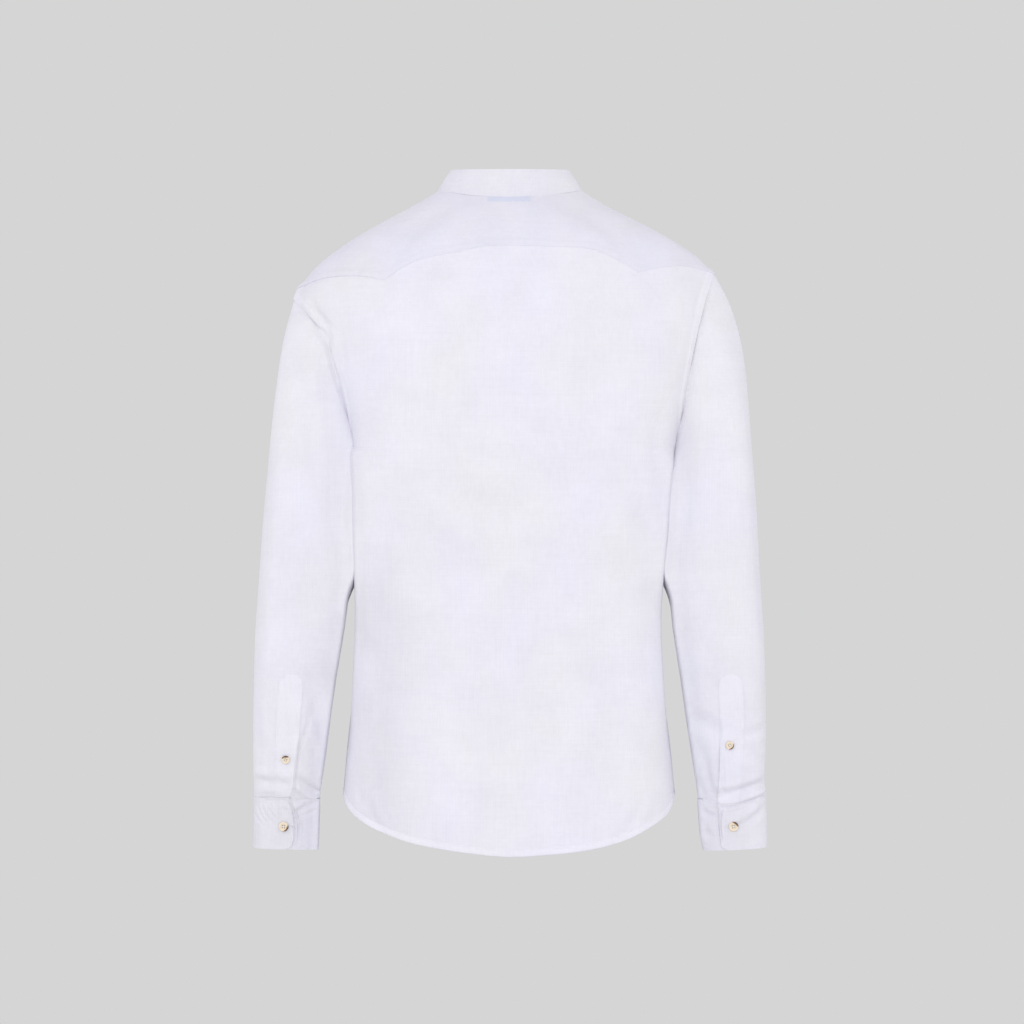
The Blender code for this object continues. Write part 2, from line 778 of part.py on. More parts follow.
# cuffs and sleeve plackets
for sign in (1, -1):
    side = side_of(sign)
    lone_shell("cuff_" + side, cuff_grid(sign), sign < 0, BAND, shirt, linen)
    lone_shell("sleeve_placket_" + side, placket_grid(sign), sign > 0, STRIP, shirt, linen)

# button placket, on the first three columns of the left front
strip = [row[:3] for row in front_left]
strip = moved_out(strip, False, STRIP + 0.8)
strip[-1] = [top.lerp(below, 0.08) for top, below in zip(strip[-1], strip[-2])]
lone_shell("front_placket", strip, False, STRIP, shirt, linen)

lone_shell("collar_band", collar_grid(), False, BAND, shirt, linen)

# buttons down the placket, on the collar, the sleeve plackets and the cuffs
for count, z in enumerate(FRONT_BUTTONS, 1):
    place, facing = grid_place(strip, 1, z)
    button(f"button_front_{count}", place + facing * 0.4, facing, "large", shirt, horn)
collar = collar_grid()
middle = min(range(8), key=lambda i: abs(collar[0][i].x))
place, facing = grid_place([collar[0], collar[2]], middle, -43)
button("button_collar", place + facing * 0.5, facing, "large", shirt, horn)
for side, small, large in (("left", (-661, 88), (-741, 88)), ("right", (-644, 90.5), (-741, 92))):
    place, facing = sleeve_place(side, *small, STRIP + 0.9)
    button("button_sleeve_" + side, place, facing, "small", shirt, horn)
    place, facing = sleeve_place(side, *large, LAP + 0.6)
    button("button_cuff_" + side, place, facing, "large", shirt, horn)

lone_shell("neck_label", label_grid(yoke), False, 0.8, shirt, tape)
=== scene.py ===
import math
import random

import bmesh
import bpy
import numpy as np
from mathutils import Matrix, Vector, noise
from mathutils.bvhtree import BVHTree
from mathutils.kdtree import KDTree


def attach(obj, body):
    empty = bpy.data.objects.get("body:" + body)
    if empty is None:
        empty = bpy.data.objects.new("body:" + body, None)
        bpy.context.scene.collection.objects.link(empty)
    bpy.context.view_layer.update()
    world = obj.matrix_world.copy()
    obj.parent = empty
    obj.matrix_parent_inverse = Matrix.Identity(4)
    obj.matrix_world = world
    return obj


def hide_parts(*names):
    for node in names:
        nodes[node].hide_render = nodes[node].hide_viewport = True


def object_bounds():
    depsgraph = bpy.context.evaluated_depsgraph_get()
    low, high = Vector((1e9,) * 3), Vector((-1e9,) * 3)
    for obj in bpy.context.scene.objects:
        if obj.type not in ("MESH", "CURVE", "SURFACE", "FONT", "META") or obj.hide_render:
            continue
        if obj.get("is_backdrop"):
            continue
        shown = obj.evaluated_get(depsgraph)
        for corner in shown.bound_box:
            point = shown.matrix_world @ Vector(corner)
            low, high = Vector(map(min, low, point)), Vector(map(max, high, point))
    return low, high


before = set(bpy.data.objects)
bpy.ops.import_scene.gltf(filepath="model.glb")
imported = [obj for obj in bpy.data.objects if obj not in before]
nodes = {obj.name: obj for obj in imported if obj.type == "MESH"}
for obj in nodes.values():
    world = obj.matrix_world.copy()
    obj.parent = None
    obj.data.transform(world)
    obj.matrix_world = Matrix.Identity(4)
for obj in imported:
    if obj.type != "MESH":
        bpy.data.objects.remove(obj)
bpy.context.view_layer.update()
scene = bpy.context.scene
random.seed(11)
print("frame loaded:", len(nodes), "nodes")


def islands(bm):
    # loose parts of a net, the largest last
    found, seen = [], set()
    for first in bm.faces:
        if first in seen:
            continue
        seen.add(first)
        part, todo = [], [first]
        while todo:
            face = todo.pop()
            part.append(face)
            for edge in face.edges:
                for other in edge.link_faces:
                    if other not in seen:
                        seen.add(other)
                        todo.append(other)
        found.append(part)
    return sorted(found, key=lambda part: sum(f.calc_area() for f in part))


def stripNet(name, columns=5):
    # a sleeve placket is an even grid, laid again over the outside points of its node
    bm = bmesh.new()
    bm.from_mesh(nodes[name].data)
    bmesh.ops.remove_doubles(bm, verts=bm.verts, dist=0.00001)
    outside = {v for f in bm.faces if f.normal.y > 0.5 for v in f.verts}
    points = sorted((v.co.copy() for v in outside), key=lambda co: -co.z)
    rows = [sorted(points[i:i + columns], key=lambda co: co.x) for i in range(0, len(points), columns)]
    # its top is rounded off
    middle = rows[1][columns // 2]
    narrow, high, drop = 0.62, 0.0092, 0.0011
    rows[0] = [Vector((middle.x + (co.x - middle.x) * narrow, co.y, co.z + high - drop * (i - 2) ** 2))
               for i, co in enumerate(rows[1])]
    net = bmesh.new()
    bmesh.ops.create_grid(net, x_segments=columns - 1, y_segments=len(rows) - 1, size=1)
    for v in net.verts:
        across = round((v.co.x + 1) / 2 * (columns - 1))
        down = round((v.co.y + 1) / 2 * (len(rows) - 1))
        v.co = rows[down][across]
    net.normal_update()
    if sum(f.normal.y for f in net.faces) < 0:
        bmesh.ops.reverse_faces(net, faces=net.faces)
    return net


def outerFace(name, wall):
    # the outside layer of a cloth node, its triangles paired back into quads
    bm = bmesh.new()
    bm.from_mesh(nodes[name].data)
    bmesh.ops.remove_doubles(bm, verts=bm.verts, dist=0.00001)
    rim = [f for f in bm.faces if min(e.calc_length() for e in f.edges) < wall]
    bmesh.ops.delete(bm, geom=rim, context="FACES")
    for part in islands(bm)[:-1]:
        bmesh.ops.delete(bm, geom=part, context="FACES")
    best, fewest = None, 1e9
    for pull in (1.8, 1.0, 0.5):
        trial = bm.copy()
        bmesh.ops.join_triangles(trial, faces=trial.faces[:], angle_face_threshold=1.2,
                                 angle_shape_threshold=1.8, topology_influence=pull)
        left = sum(len(f.verts) == 3 for f in trial.faces)
        if left < fewest:
            best, fewest = trial, left
    return best


def sharpTurns(bm, limit):
    # boundary corners that stay pointed, such as the tips of the yoke
    tips = []
    for v in bm.verts:
        edges = [e for e in v.link_edges if e.is_boundary]
        if len(edges) != 2 or len(v.link_faces) < 2:
            continue
        a, b = (e.other_vert(v).co - v.co for e in edges)
        if math.pi - a.angle(b) > limit and abs(v.co.x) > 0.08:
            tips.append(v.index)
    return tips


def rounded(name, levels=3, turn=0.6, wall=0.0019):
    # smooth subdivision that still passes through the net's own points
    strip = name.startswith("sleeve_placket")
    bm = stripNet(name) if strip else outerFace(name, wall)
    bm.verts.index_update()
    tips = sharpTurns(bm, turn)
    net = bpy.data.meshes.new(name + ".net")
    bm.to_mesh(net)
    goals = [v.co.copy() for v in net.vertices]
    if tips:
        mark = net.attributes.new("crease_vert", "FLOAT", "POINT")
        for i in tips:
            mark.data[i].value = 1.0
    holder = bpy.data.objects.new(name + ".net", net)
    scene.collection.objects.link(holder)
    smooth = holder.modifiers.new("round", "SUBSURF")
    smooth.boundary_smooth = "PRESERVE_CORNERS"
    smooth.levels = smooth.render_levels = 1
    for _ in range(0 if strip else 3):
        graph = bpy.context.evaluated_depsgraph_get()
        shown = holder.evaluated_get(graph)
        mesh = shown.to_mesh()
        for v, goal in zip(net.vertices, goals):
            v.co += goal - mesh.vertices[v.index].co
        shown.to_mesh_clear()
        net.update()
    smooth.levels = smooth.render_levels = levels
    graph = bpy.context.evaluated_depsgraph_get()
    fine = bpy.data.meshes.new_from_object(holder.evaluated_get(graph))
    result = bmesh.new()
    result.from_mesh(fine)
    bpy.data.objects.remove(holder)
    bpy.data.meshes.remove(net)
    bpy.data.meshes.remove(fine)
    result.normal_update()
    return result


sheets = {name: rounded(name) for name in (
    "back", "yoke", "front_left", "front_right", "sleeve_left", "sleeve_right")}
for name in ("collar_band", "cuff_left", "cuff_right", "front_placket", "neck_label",
             "sleeve_placket_left", "sleeve_placket_right"):
    sheets[name] = rounded(name, levels=4 if "cuff" in name else 3, turn=3)
print("sheets rounded:", sum(len(bm.faces) for bm in sheets.values()), "faces")


bodySheets = ("back", "yoke", "front_left", "front_right")
sleeveSheets = ("sleeve_left", "sleeve_right")


def treeOf(points):
    tree = KDTree(len(points))
    for i, p in enumerate(points):
        tree.insert(p, i)
    tree.balance()
    return tree


def edgeTree(bm):
    edge = [v for v in bm.verts if v.is_boundary]
    return treeOf([v.co for v in edge]), edge


def closeSeams(names, reach):
    # matching edges are drawn together
    trees = {n: edgeTree(sheets[n]) for n in names}
    moves = []
    for n in names:
        for v in trees[n][1]:
            met = [v.co]
            for other in names:
                if other != n:
                    co, _, gap = trees[other][0].find(v.co)
                    if gap < reach:
                        met.append(co)
            if len(met) > 1:
                moves.append((v, sum(met, Vector()) / len(met)))
    for v, co in moves:
        v.co = co


closeSeams(bodySheets + sleeveSheets, 0.0012)


def easeYokeSeam(reach=0.026):
    # the curve between the yoke's two points loses its corners
    backTree = edgeTree(sheets["back"])[0]
    line = sorted(((v.co.x, v.co.z) for v in edgeTree(sheets["yoke"])[1]
                   if v.co.y > 0.03 and abs(v.co.x) < 0.146 and backTree.find(v.co)[2] < 0.001))
    xs, zs = (np.array(part) for part in zip(*line))
    eased = [np.average(zs, weights=np.exp(-((xs - x) / 0.011) ** 2)) for x in xs]
    change = (np.array(eased) - zs) * np.clip((0.132 - np.abs(xs)) / 0.02, 0, 1)
    for name in ("back", "yoke"):
        for v in sheets[name].verts:
            if v.co.y > 0.03 and abs(v.co.x) < 0.14:
                away = abs(v.co.z - np.interp(v.co.x, xs, zs))
                if away < reach:
                    v.co.z += np.interp(v.co.x, xs, change) * (1 - away / reach)


easeYokeSeam()
seamLines = {}      # sheet, then neighbour, to the points of the shared edge
for a in sheets:
    seamLines[a] = {}
    edge = [v.co.copy() for v in sheets[a].verts if v.is_boundary]
    for b in sheets:
        if a == b:
            continue
        tree = edgeTree(sheets[b])[0]
        shared = [co for co in edge if tree.find(co)[2] < 0.004]
        if len(shared) > 6:
            seamLines[a][b] = shared
print("seams:", {a: sorted(seamLines[a]) for a in ("back", "yoke", "sleeve_left", "collar_band")})


def smoothStep(a, b, value):
    t = np.clip((value - a) / (b - a), 0, 1)
    return t * t * (3 - 2 * t)


def formOf(names, side, step=0.01):
    # extents of a tube by height
    co = np.array([v.co for n in names for v in sheets[n].verts if v.co.x * side >= 0 or side == 0])
    lowest = max(co[:, 2].min() + 0.012, -0.67 if side == 0 else -1)
    levels = np.arange(lowest, co[:, 2].max() - 0.012, step)
    rows = []
    for z in levels:
        near = co[np.abs(co[:, 2] - z) < step * 0.7]
        rows.append((near[:, 0].min(), near[:, 0].max(), near[:, 1].min(), near[:, 1].max()))
    return levels, np.array(rows)


# the sides that hang against each other: the power of their form, the share of the depth still kept
# at the side beside the body and lower down, and in metres how far the side is drawn against the body
# under the arm, how far it slopes away towards the front, and how far its edge stands out
presses = [
    dict(names=("sleeve_left", "cuff_left", "sleeve_placket_left"), side=1, power=3.1,
         beside=0.90, lower=0.74, inward=0.0052, slope=0.0065, out=0.0028),
    dict(names=("sleeve_right", "cuff_right", "sleeve_placket_right"), side=-1, power=3.1,
         beside=0.90, lower=0.74, inward=0.0056, slope=0.0065, out=0.0028),
    dict(names=("back", "front_left", "front_right", "front_placket"), side=0, power=3.2,
         beside=0.60, lower=0.44, inward=0.0, slope=0.0045, out=0.0030),
]
armpit = 0.298      # depth below the origin at which the arm is closed up most


def pressSides(names, side, power, beside, lower, inward, slope, out):
    levels, rows = formOf(names[:2] if side else ("back", "front_left", "front_right"), side)
    seam = [p for n in bodySheets for s in sleeveSheets for p in seamLines[n].get(s, [])]
    seamTree = treeOf(seam)
    for name in names:
        bm = sheets[name]
        co = np.array([v.co for v in bm.verts])
        down = -co[:, 2]
        x0, x1, y0, y1 = (np.interp(co[:, 2], levels, rows[:, k]) for k in range(4))
        u = (co[:, 0] - (x0 + x1) / 2) / ((x1 - x0) / 2)
        u = np.clip(-u * side if side else np.abs(u), 0, 0.996)
        form = (1 - u ** power) ** (1 / power)
        keep = beside + (lower - beside) * smoothStep(0.44, 0.50, down)
        wide = (form ** 4 + (keep * smoothStep(0.45, 0.97, u)) ** 4) ** 0.25
        away = np.array([seamTree.find(v.co)[2] for v in bm.verts])
        share = smoothStep(0.262, 0.315, down) * smoothStep(0, 0.014, away)
        if side == 0:
            share *= 1 - smoothStep(0.56, 0.64, down)
        dy = (wide / form - 1) * share * (co[:, 1] - (y0 + y1) / 2)
        dx = -side * inward * smoothStep(0.5, 0.92, u) * smoothStep(0.0, 0.007, away)
        dx *= 1 + 0.5 * np.exp(-((down - armpit) / 0.026) ** 2)
        dx *= smoothStep(0.235, 0.28, down) * smoothStep(-0.478, -0.435, co[:, 2])
        # lower down the edge lies nearer the back
        deep = (co[:, 1] + dy - (y0 + y1) / 2) / ((y1 - y0) / 2)
        edge = smoothStep(0.5, 0.95, u) * smoothStep(0.452, 0.51, down)
        edge *= slope * (1 - smoothStep(0.1, 0.75, deep)) - out
        if side:
            dx += side * edge
        else:
            dx -= np.sign(co[:, 0]) * edge * (1 - smoothStep(0.58, 0.66, down))
        for v, x, y in zip(bm.verts, dx, dy):
            v.co.x += x
            v.co.y += y


for press in presses:
    pressSides(**press)
print("sides pressed")

# folds, in millimetres: x and z of both ends, sideways bow, side (1 back, -1 front), half width,
# depth (minus sinks)
bodyFolds = [
    (243, -116, 208, -157, 6, 1, 3.6, 1.5),
    (234, -112, 203, -158, 6, 1, 3.4, -0.9),
    (-238, -100, -224, -146, 4, 1, 3.6, 1.1),
    (206, -154, 195, -212, 3, 1, 4.5, 1.6),
    (212, -160, 199, -214, 4, 1, 3.5, -1.2),
    (179, -441, 172, -528, 2, 1, 6, -1.2),
    (187, -300, 181, -400, 3, 1, 9, -1.5),
    (-157, -365, -177, -480, 5, 1, 13, -3.0),
    (-172, -260, -181, -372, 4, 1, 9, -2.0),
    (166, -705, 146, -741, 3, 1, 5, -2.0),
    (157, -716, 138, -744, 3, 1, 4.5, 1.1),
    (176, -690, 167, -727, 2, 1, 4, -1.0),
    (-150, -716, -130, -745, -3, 1, 6, -1.4),
    (-163, -700, -148, -733, -3, 1, 5, 0.9),
    (128, -180, 96, -300, 8, 1, 16, -1.4),
    (96, -196, 70, -330, 6, 1, 18, 1.1),
    (-120, -170, -88, -290, -8, 1, 17, -1.2),
    (44, -330, 30, -640, 6, 1, 24, 1.1),
    (-10, -380, -18, -700, 4, 1, 20, -1.1),
    (-62, -300, -78, -660, -8, 1, 22, 1.1),
    (92, -400, 104, -690, -6, 1, 20, -1.2),
    (130, -430, 140, -640, -4, 1, 13, 1.1),
    (-112, -470, -122, -720, 5, 1, 16, -1.4),
    (205, -60, 176, -88, 3, 1, 9, -0.9),
    (-200, -58, -172, -84, -3, 1, 9, -0.9),
    (-196, -150, -186, -205, -3, -1, 5, -1.5),
    (199, -152, 189, -208, 3, -1, 5, -1.5),
    (-176, -300, -168, -430, 4, -1, 10, -2.0),
    (178, -320, 170, -450, -3, -1, 9, -1.9),
    (120, -130, 96, -260, 8, -1, 15, -1.4),
    (-116, -126, -92, -250, -7, -1, 16, -1.4),
    (78, -330, 90, -600, 6, -1, 20, -1.2),
    (-74, -340, -86, -560, -5, -1, 19, -1.2),
    (-120, -420, -126, -700, 5, -1, 15, 1.1),
    (124, -410, 130, -690, -5, -1, 16, 1.1),
    (-156, -690, -140, -732, -3, -1, 6, -1.6),
    (158, -700, 146, -735, 3, -1, 5, -1.5),
]
leftSleeveFolds = [
    (256, -118, 227, -144, 3, 1, 2.6, -1.6),
    (230, -141, 212, -178, 2.5, 1, 2.6, -1.7),
    (214, -172, 195, -238, 2, 1, 2.4, -1.3),
    (237, -614, 249, -648, -2, 1, 2.4, -1.8),
    (247, -640, 253.5, -703, 1, 1, 1.9, -2.4),
    (250, -684, 224, -704, 2, 1, 5, -3.8),
    (247, -693, 226, -712, 1, 1, 4.5, 1.6),
    (299, -688, 262, -694, -3, 1, 6, -2.7),
    (303, -677, 280, -686, -2, 1, 4, 1.3),
    (284, -575, 276, -640, 3, 1, 9, -2.4),
    (297, -575, 293, -655, 3, 1, 7, -1.8),
    (240, -560, 228, -606, -4, 1, 8, -2.1),
    (232, -600, 221, -640, -3, 1, 7, -1.9),
    (244, -632, 228, -655, -2, 1, 5, -1.8),
    (272, -490, 262, -556, 4, 1, 11, -1.4),
    (300, -430, 292, -530, 4, 1, 11, -1.4),
    (212, -330, 200, -420, 3, 1, 9, -1.6),
    (256, -170, 240, -250, 5, 1, 12, -1.4),
    (282, -230, 272, -330, 4, 1, 13, 1.3),
    (230, -200, 219, -290, 3, 1, 8, 1.1),
    (216, -150, 205, -215, 3, -1, 6, -2.2),
    (232, -168, 216, -262, 4, -1, 7, 1.6),
    (268, -200, 250, -300, 6, -1, 11, -1.9),
    (286, -360, 262, -440, 7, -1, 10, -2.2),
    (214, -420, 240, -470, 5, -1, 9, -2.9),
    (216, -450, 246, -492, 5, -1, 8, 1.8),
    (290, -500, 268, -560, 5, -1, 9, -1.9),
    (232, -560, 250, -640, -4, -1, 9, -2.1),
    (262, -610, 258, -700, 3, -1, 8, -2.4),
    (242, -640, 240, -706, 2, -1, 6, -2.1),
    (282, -650, 286, -706, -2, -1, 6, -2.2),
    (299, -668, 279, -700, -2, -1, 5, 1.4),
]
rightSleeveFolds = [
    (-243, -104, -224, -146, 3, 1, 2.6, -1.2),
    (-226, -140, -212, -200, 2, 1, 2.5, -1.2),
    (-246.5, -620, -251.5, -703, -1, 1, 2.0, -1.4),
    (-247, -700, -303, -688, 3, 1, 5, -4.0),
    (-250, -709, -300, -699, 2, 1, 4, 2.1),
    (-213, -612, -246, -630, -3, 1, 9, -2.4),
    (-274, -631, -299, -624, 2, 1, 4.5, -2.1),
    (-276, -640, -300, -634, 2, 1, 4, 1.3),
    (-282, -655, -299, -668, -2, 1, 6, -1.8),
    (-230, -655, -238, -700, 2, 1, 5, -1.9),
    (-221, -668, -229, -703, 2, 1, 4, -1.6),
    (-291, -560, -298, -612, -3, 1, 9, -1.8),
    (-232, -520, -240, -590, -3, 1, 10, -1.4),
    (-262, -460, -270, -560, 4, 1, 12, 1.3),
    (-285, -380, -292, -490, -4, 1, 12, -1.4),
    (-208, -330, -200, -400, -3, 1, 9, -1.6),
    (-250, -176, -238, -262, -4, 1, 12, -1.3),
    (-228, -160, -212, -240, -3, 1, 8, 1.1),
    (-219, -152, -208, -222, -3, -1, 6, -2.1),
    (-246, -160, -226, -260, -5, -1, 8, 1.6),
    (-272, -220, -252, -320, -6, -1, 11, -1.9),
    (-284, -372, -258, -430, -6, -1, 10, -2.4),
    (-212, -410, -238, -466, -5, -1, 9, -2.7),
    (-215, -446, -250, -486, -5, -1, 8, 1.8),
    (-292, -510, -272, -566, -4, -1, 9, -1.8),
    (-230, -570, -252, -636, 4, -1, 9, -2.1),
    (-260, -616, -254, -702, -3, -1, 8, -2.4),
    (-240, -646, -236, -704, -2, -1, 6, -2.1),
    (-284, -640, -288, -704, 2, -1, 6, -2.2),
]
leftCuffFolds = [
    (298, -718, 288, -737, 1.5, 1, 1.8, -1.1),
    (293, -716, 282, -735, 1.5, 1, 1.6, -1.2),
    (287, -715, 276, -732, 1.5, 1, 1.7, -1.1),
    (281, -713, 269, -729, 1.5, 1, 1.8, -1.2),
    (302, -728, 288, -742, 1, 1, 1.9, -0.9),
    (276, -713, 263, -726, 2, 1, 2.4, -1.6),
    (271, -714, 260, -722, 2, 1, 2.8, -1.8),
    (254, -729, 228, -713, -2, 1, 2.6, -1.6),
    (255, -735, 232, -724, -2, 1, 2.2, -1.3),
    (254, -722, 238, -712, -1, 1, 2.2, 1.1),
    (254.5, -714, 250.5, -757, -2.5, 1, 1.4, -1.8),
    (296, -724, 240, -730, 2, -1, 4, -1.5),
    (288, -752, 236, -750, 2, -1, 5, 1.1),
]
rightCuffFolds = [
    (-251, -717, -250, -754, 2.5, 1, 1.4, -1.7),
    (-251, -713, -300, -706, 1, 1, 2.4, -2.1),
    (-262, -734, -296, -712, 2, 1, 5, 1.7),
    (-268, -742, -299, -722, 2, 1, 4.5, -1.5),
    (-228, -722, -242, -728, 2, 1, 4, -1.5),
    (-230, -742, -240, -752, 2, 1, 4, -1.1),
    (-294, -726, -238, -732, -2, -1, 4, -1.5),
    (-286, -750, -234, -752, 2, -1, 5, 1.1),
]


def foldLift(co, nor, rows, soft=0.22):
    lift = np.zeros(len(co))
    flat = co[:, (0, 2)] * 1000
    for x0, z0, x1, z1, bow, side, width, depth in rows:
        start, along = np.array((x0, z0)), np.array((x1 - x0, z1 - z0))
        length = np.hypot(*along)
        across = np.array((-along[1], along[0])) / length
        rel = flat - start
        t = rel @ along / length ** 2
        d = (rel @ across - bow * 4 * np.clip(t, 0, 1) * (1 - np.clip(t, 0, 1))) / width
        ends = smoothStep(-soft, soft, t) * smoothStep(-soft, soft, 1 - t)
        form = np.exp(-d * d) - 0.32 * np.exp(-((np.abs(d) - 1.8) / 0.8) ** 2)
        facing = smoothStep(0.02, 0.4, nor[:, 1] * side)
        lift += depth * form * ends * facing
    return lift


foldRows = {
    "back": bodyFolds, "yoke": bodyFolds, "front_left": bodyFolds, "front_right": bodyFolds,
    "front_placket": bodyFolds,
    "sleeve_left": leftSleeveFolds, "sleeve_placket_left": leftSleeveFolds,
    "sleeve_right": rightSleeveFolds, "sleeve_placket_right": rightSleeveFolds,
    "cuff_left": leftCuffFolds, "cuff_right": rightCuffFolds,
}
# sheet that laps, neighbours under it, width of the doubled strip, rise, how far it reaches over
laps = [
    ("yoke", ("back",), 6.5, 0.5, 0.5),
    ("yoke", ("front_left", "front_right"), 6.5, 0.7, 0.4),
    ("back", ("front_left", "front_right"), 7.5, 0.6, 0.4),
    ("back", sleeveSheets, 8.5, 1.15, 0.4),
    ("yoke", sleeveSheets, 8.5, 1.15, 0.4),
    ("front_left", ("sleeve_left",), 8.5, 1.15, 0.4),
    ("front_right", ("sleeve_right",), 8.5, 1.15, 0.4),
    ("collar_band", ("yoke", "front_left", "front_right"), 3.0, 0.0, 0.6),
    ("cuff_left", ("sleeve_left",), 3.0, 0.0, 1.5),
    ("cuff_right", ("sleeve_right",), 3.0, 0.0, 1.5),
]


def arrays(bm):
    co = np.array([v.co for v in bm.verts])
    nor = np.array([v.normal for v in bm.verts])
    return co, nor


# how the tone of whole pieces differs, 1 being cloth that lies double; the yoke's minus value is painted
# shade for its slope tilted away from the light, and the collar and cuffs are set darker
pieceTones = {
    "yoke": -0.6, "collar_band": -1.2, "cuff_left": -0.9, "cuff_right": -0.4,
    "front_placket": 1, "sleeve_placket_left": 1, "sleeve_placket_right": 1,
}
doubledAndShade = {}        # 1 where the cloth lies double, negative for painted shade on the yoke and back and for the darker collar and cuffs
for name, bm in sheets.items():
    bm.normal_update()
    co, nor = arrays(bm)
    lift = foldLift(co, nor, foldRows.get(name, []))
    # slow unevenness of pressed linen
    uneven = np.array([noise.noise(v.co * 9 + Vector((3, 1, 7))) * 0.9
                       + noise.noise(v.co * 26) * 0.28 for v in bm.verts])
    if name in foldRows:
        lift += uneven * (0.45 if "cuff" in name else 1.0)
    if name.startswith("sleeve_placket"):
        # lies close on the sleeve, its inner edge standing up lower down
        across = np.abs(co[:, 0])
        inner = across.min() + 0.006 - across
        lift += -0.5 + 1.3 * smoothStep(-0.004, 0.004, inner) * smoothStep(0.625, 0.655, -co[:, 2])
    push = np.zeros_like(co)
    layersAndShade = np.zeros(len(co))
    for lapper, under, width, rise, reach in laps:
        if lapper != name:
            continue
        line = [p for n in under for p in seamLines[name].get(n, [])]
        if not line:
            continue
        tree = treeOf(line)
        gap = np.array([tree.find(v.co)[2] for v in bm.verts]) * 1000
        near = 1 - smoothStep(width, width + 2.5, gap)
        if name == "yoke" and under == ("back",):
            rise = rise * (1 + 1.2 * smoothStep(0.150, 0.162, co[:, 0]))      # crisper near the left arm
        lift += rise * near
        layersAndShade = np.maximum(layersAndShade, near)
        for v in bm.verts:
            if v.is_boundary and gap[v.index] < 3:
                outward = Vector()
                for e in v.link_edges:
                    if not e.is_boundary:
                        outward += (v.co - e.other_vert(v).co).normalized()
                if outward.length > 0.1:
                    push[v.index] = np.array(outward.normalized()) * reach
    # whole pieces take their own tone, the yoke's being painted shade
    if name in pieceTones:
        layersAndShade[:] = pieceTones[name]
    if name == "back":
        # painted shade: a slightly greyer length down the left of the back, for the shade of a broad
        # hollow there
        beside = np.exp(-((co[:, 0] - 0.150) / 0.038) ** 2)
        layersAndShade = layersAndShade - 1.9 * beside * smoothStep(0.38, 0.50, -co[:, 2])
    doubledAndShade[name] = layersAndShade
    moved = co + (nor * lift[:, None] + push) * 0.001
    for v, p in zip(bm.verts, moved):
        v.co = p
    bm.normal_update()
# the cuffs' upper edges are drawn down to what lies under them
cuffGap, cuffReach = 0.0006, 0.006
for side in ("left", "right"):
    cuff = sheets["cuff_" + side]
    under = [BVHTree.FromBMesh(sheets[part + side]) for part in ("sleeve_", "sleeve_placket_")]
    top = max(v.co.z for v in cuff.verts)
    moves = []
    for v in cuff.verts:
        if v.co.z < top - 0.011:
            continue
        # the nearer of the sleeve and its placket, and how far the cuff stands off it
        off, normal = min(((v.co - spot).dot(way), way) for spot, way, _, _ in
                          (tree.find_nearest(v.co) for tree in under))
        if cuffGap < off < cuffReach:
            fade = float(1 - smoothStep(0.003, 0.010, top - v.co.z))
            moves.append((v, normal * (cuffGap - off) * fade))
    for v, way in moves:
        v.co += way
    cuff.normal_update()
# the left cuff's upper end and the foot of its placket swing out in an S
for name in ("cuff_left", "sleeve_placket_left"):
    for v in sheets[name].verts:
        if v.co.y > -0.01:
            apart = ((v.co.z + 0.713) / 0.013) ** 2 + ((v.co.x - 0.256) / 0.017) ** 2
            v.co.x += 0.005 * math.exp(-apart)
    sheets[name].normal_update()
# the right cuff's seam dips beside its placket, and both cuffs hang a little lower inside
for name in ("sleeve_right", "sleeve_placket_right", "cuff_right"):
    for v in sheets[name].verts:
        if v.co.y > -0.01:
            apart = ((v.co.z + 0.708) / 0.014) ** 2 + ((v.co.x + 0.254) / 0.020) ** 2
            v.co.z -= 0.0065 * math.exp(-apart)
cuffTilts = [("cuff_left", 0.305, 0.228, 2.0), ("cuff_right", -0.306, -0.229, 4.0)]
for name, outer, inner, low in cuffTilts:
    for v in sheets[name].verts:
        across = (v.co.x - outer) / (inner - outer)
        down = float(smoothStep(-0.715, -0.768, v.co.z))
        v.co.z -= (low * across - low * 0.25) * 0.001 * down
    sheets[name].normal_update()
print("folds laid")


def newMaterial(name):
    mat = bpy.data.materials.new(name)
    mat.use_nodes = True
    tree = mat.node_tree
    tree.nodes.clear()
    return mat, tree


def node(tree, kind, **values):
    made = tree.nodes.new(kind)
    for key, value in values.items():
        setattr(made, key, value)
    return made


def stretchedNoise(tree, coords, scale, detail=2.0, turn=0.0):
    mapping = node(tree, "ShaderNodeMapping")
    mapping.inputs["Scale"].default_value = scale
    mapping.inputs["Rotation"].default_value = (0, turn, 0)
    tree.links.new(coords, mapping.inputs["Vector"])
    made = node(tree, "ShaderNodeTexNoise")
    made.inputs["Scale"].default_value = 1.0
    made.inputs["Detail"].default_value = detail
    tree.links.new(mapping.outputs["Vector"], made.inputs["Vector"])
    return made.outputs["Fac"]


def maths(tree, kind, a, b, clamp=False):
    made = node(tree, "ShaderNodeMath", operation=kind, use_clamp=clamp)
    for socket, value in zip(made.inputs, (a, b)):
        if isinstance(value, (int, float)):
            socket.default_value = value
        else:
            tree.links.new(value, socket)
    return made.outputs[0]


def shaded(tree, colour, heights, strength, depth, values):
    # a plain shader with its colour and its bump
    bump = node(tree, "ShaderNodeBump")
    bump.inputs["Strength"].default_value = strength
    bump.inputs["Distance"].default_value = depth
    tree.links.new(heights, bump.inputs["Height"])
    shader = node(tree, "ShaderNodeBsdfPrincipled")
    for key, value in values.items():
        shader.inputs[key].default_value = value
    tree.links.new(colour, shader.inputs["Base Color"])
    tree.links.new(bump.outputs["Normal"], shader.inputs["Normal"])
    return shader.outputs[0]


def shown(tree, surface):
    out = node(tree, "ShaderNodeOutputMaterial")
    tree.links.new(surface, out.inputs["Surface"])


# how strongly each unevenness of the linen shows
linenTones = dict(base=0.80, weave=0.11, slub=0.09, cloud=0.10, fleck=0.06, doubledAndShade=0.035)


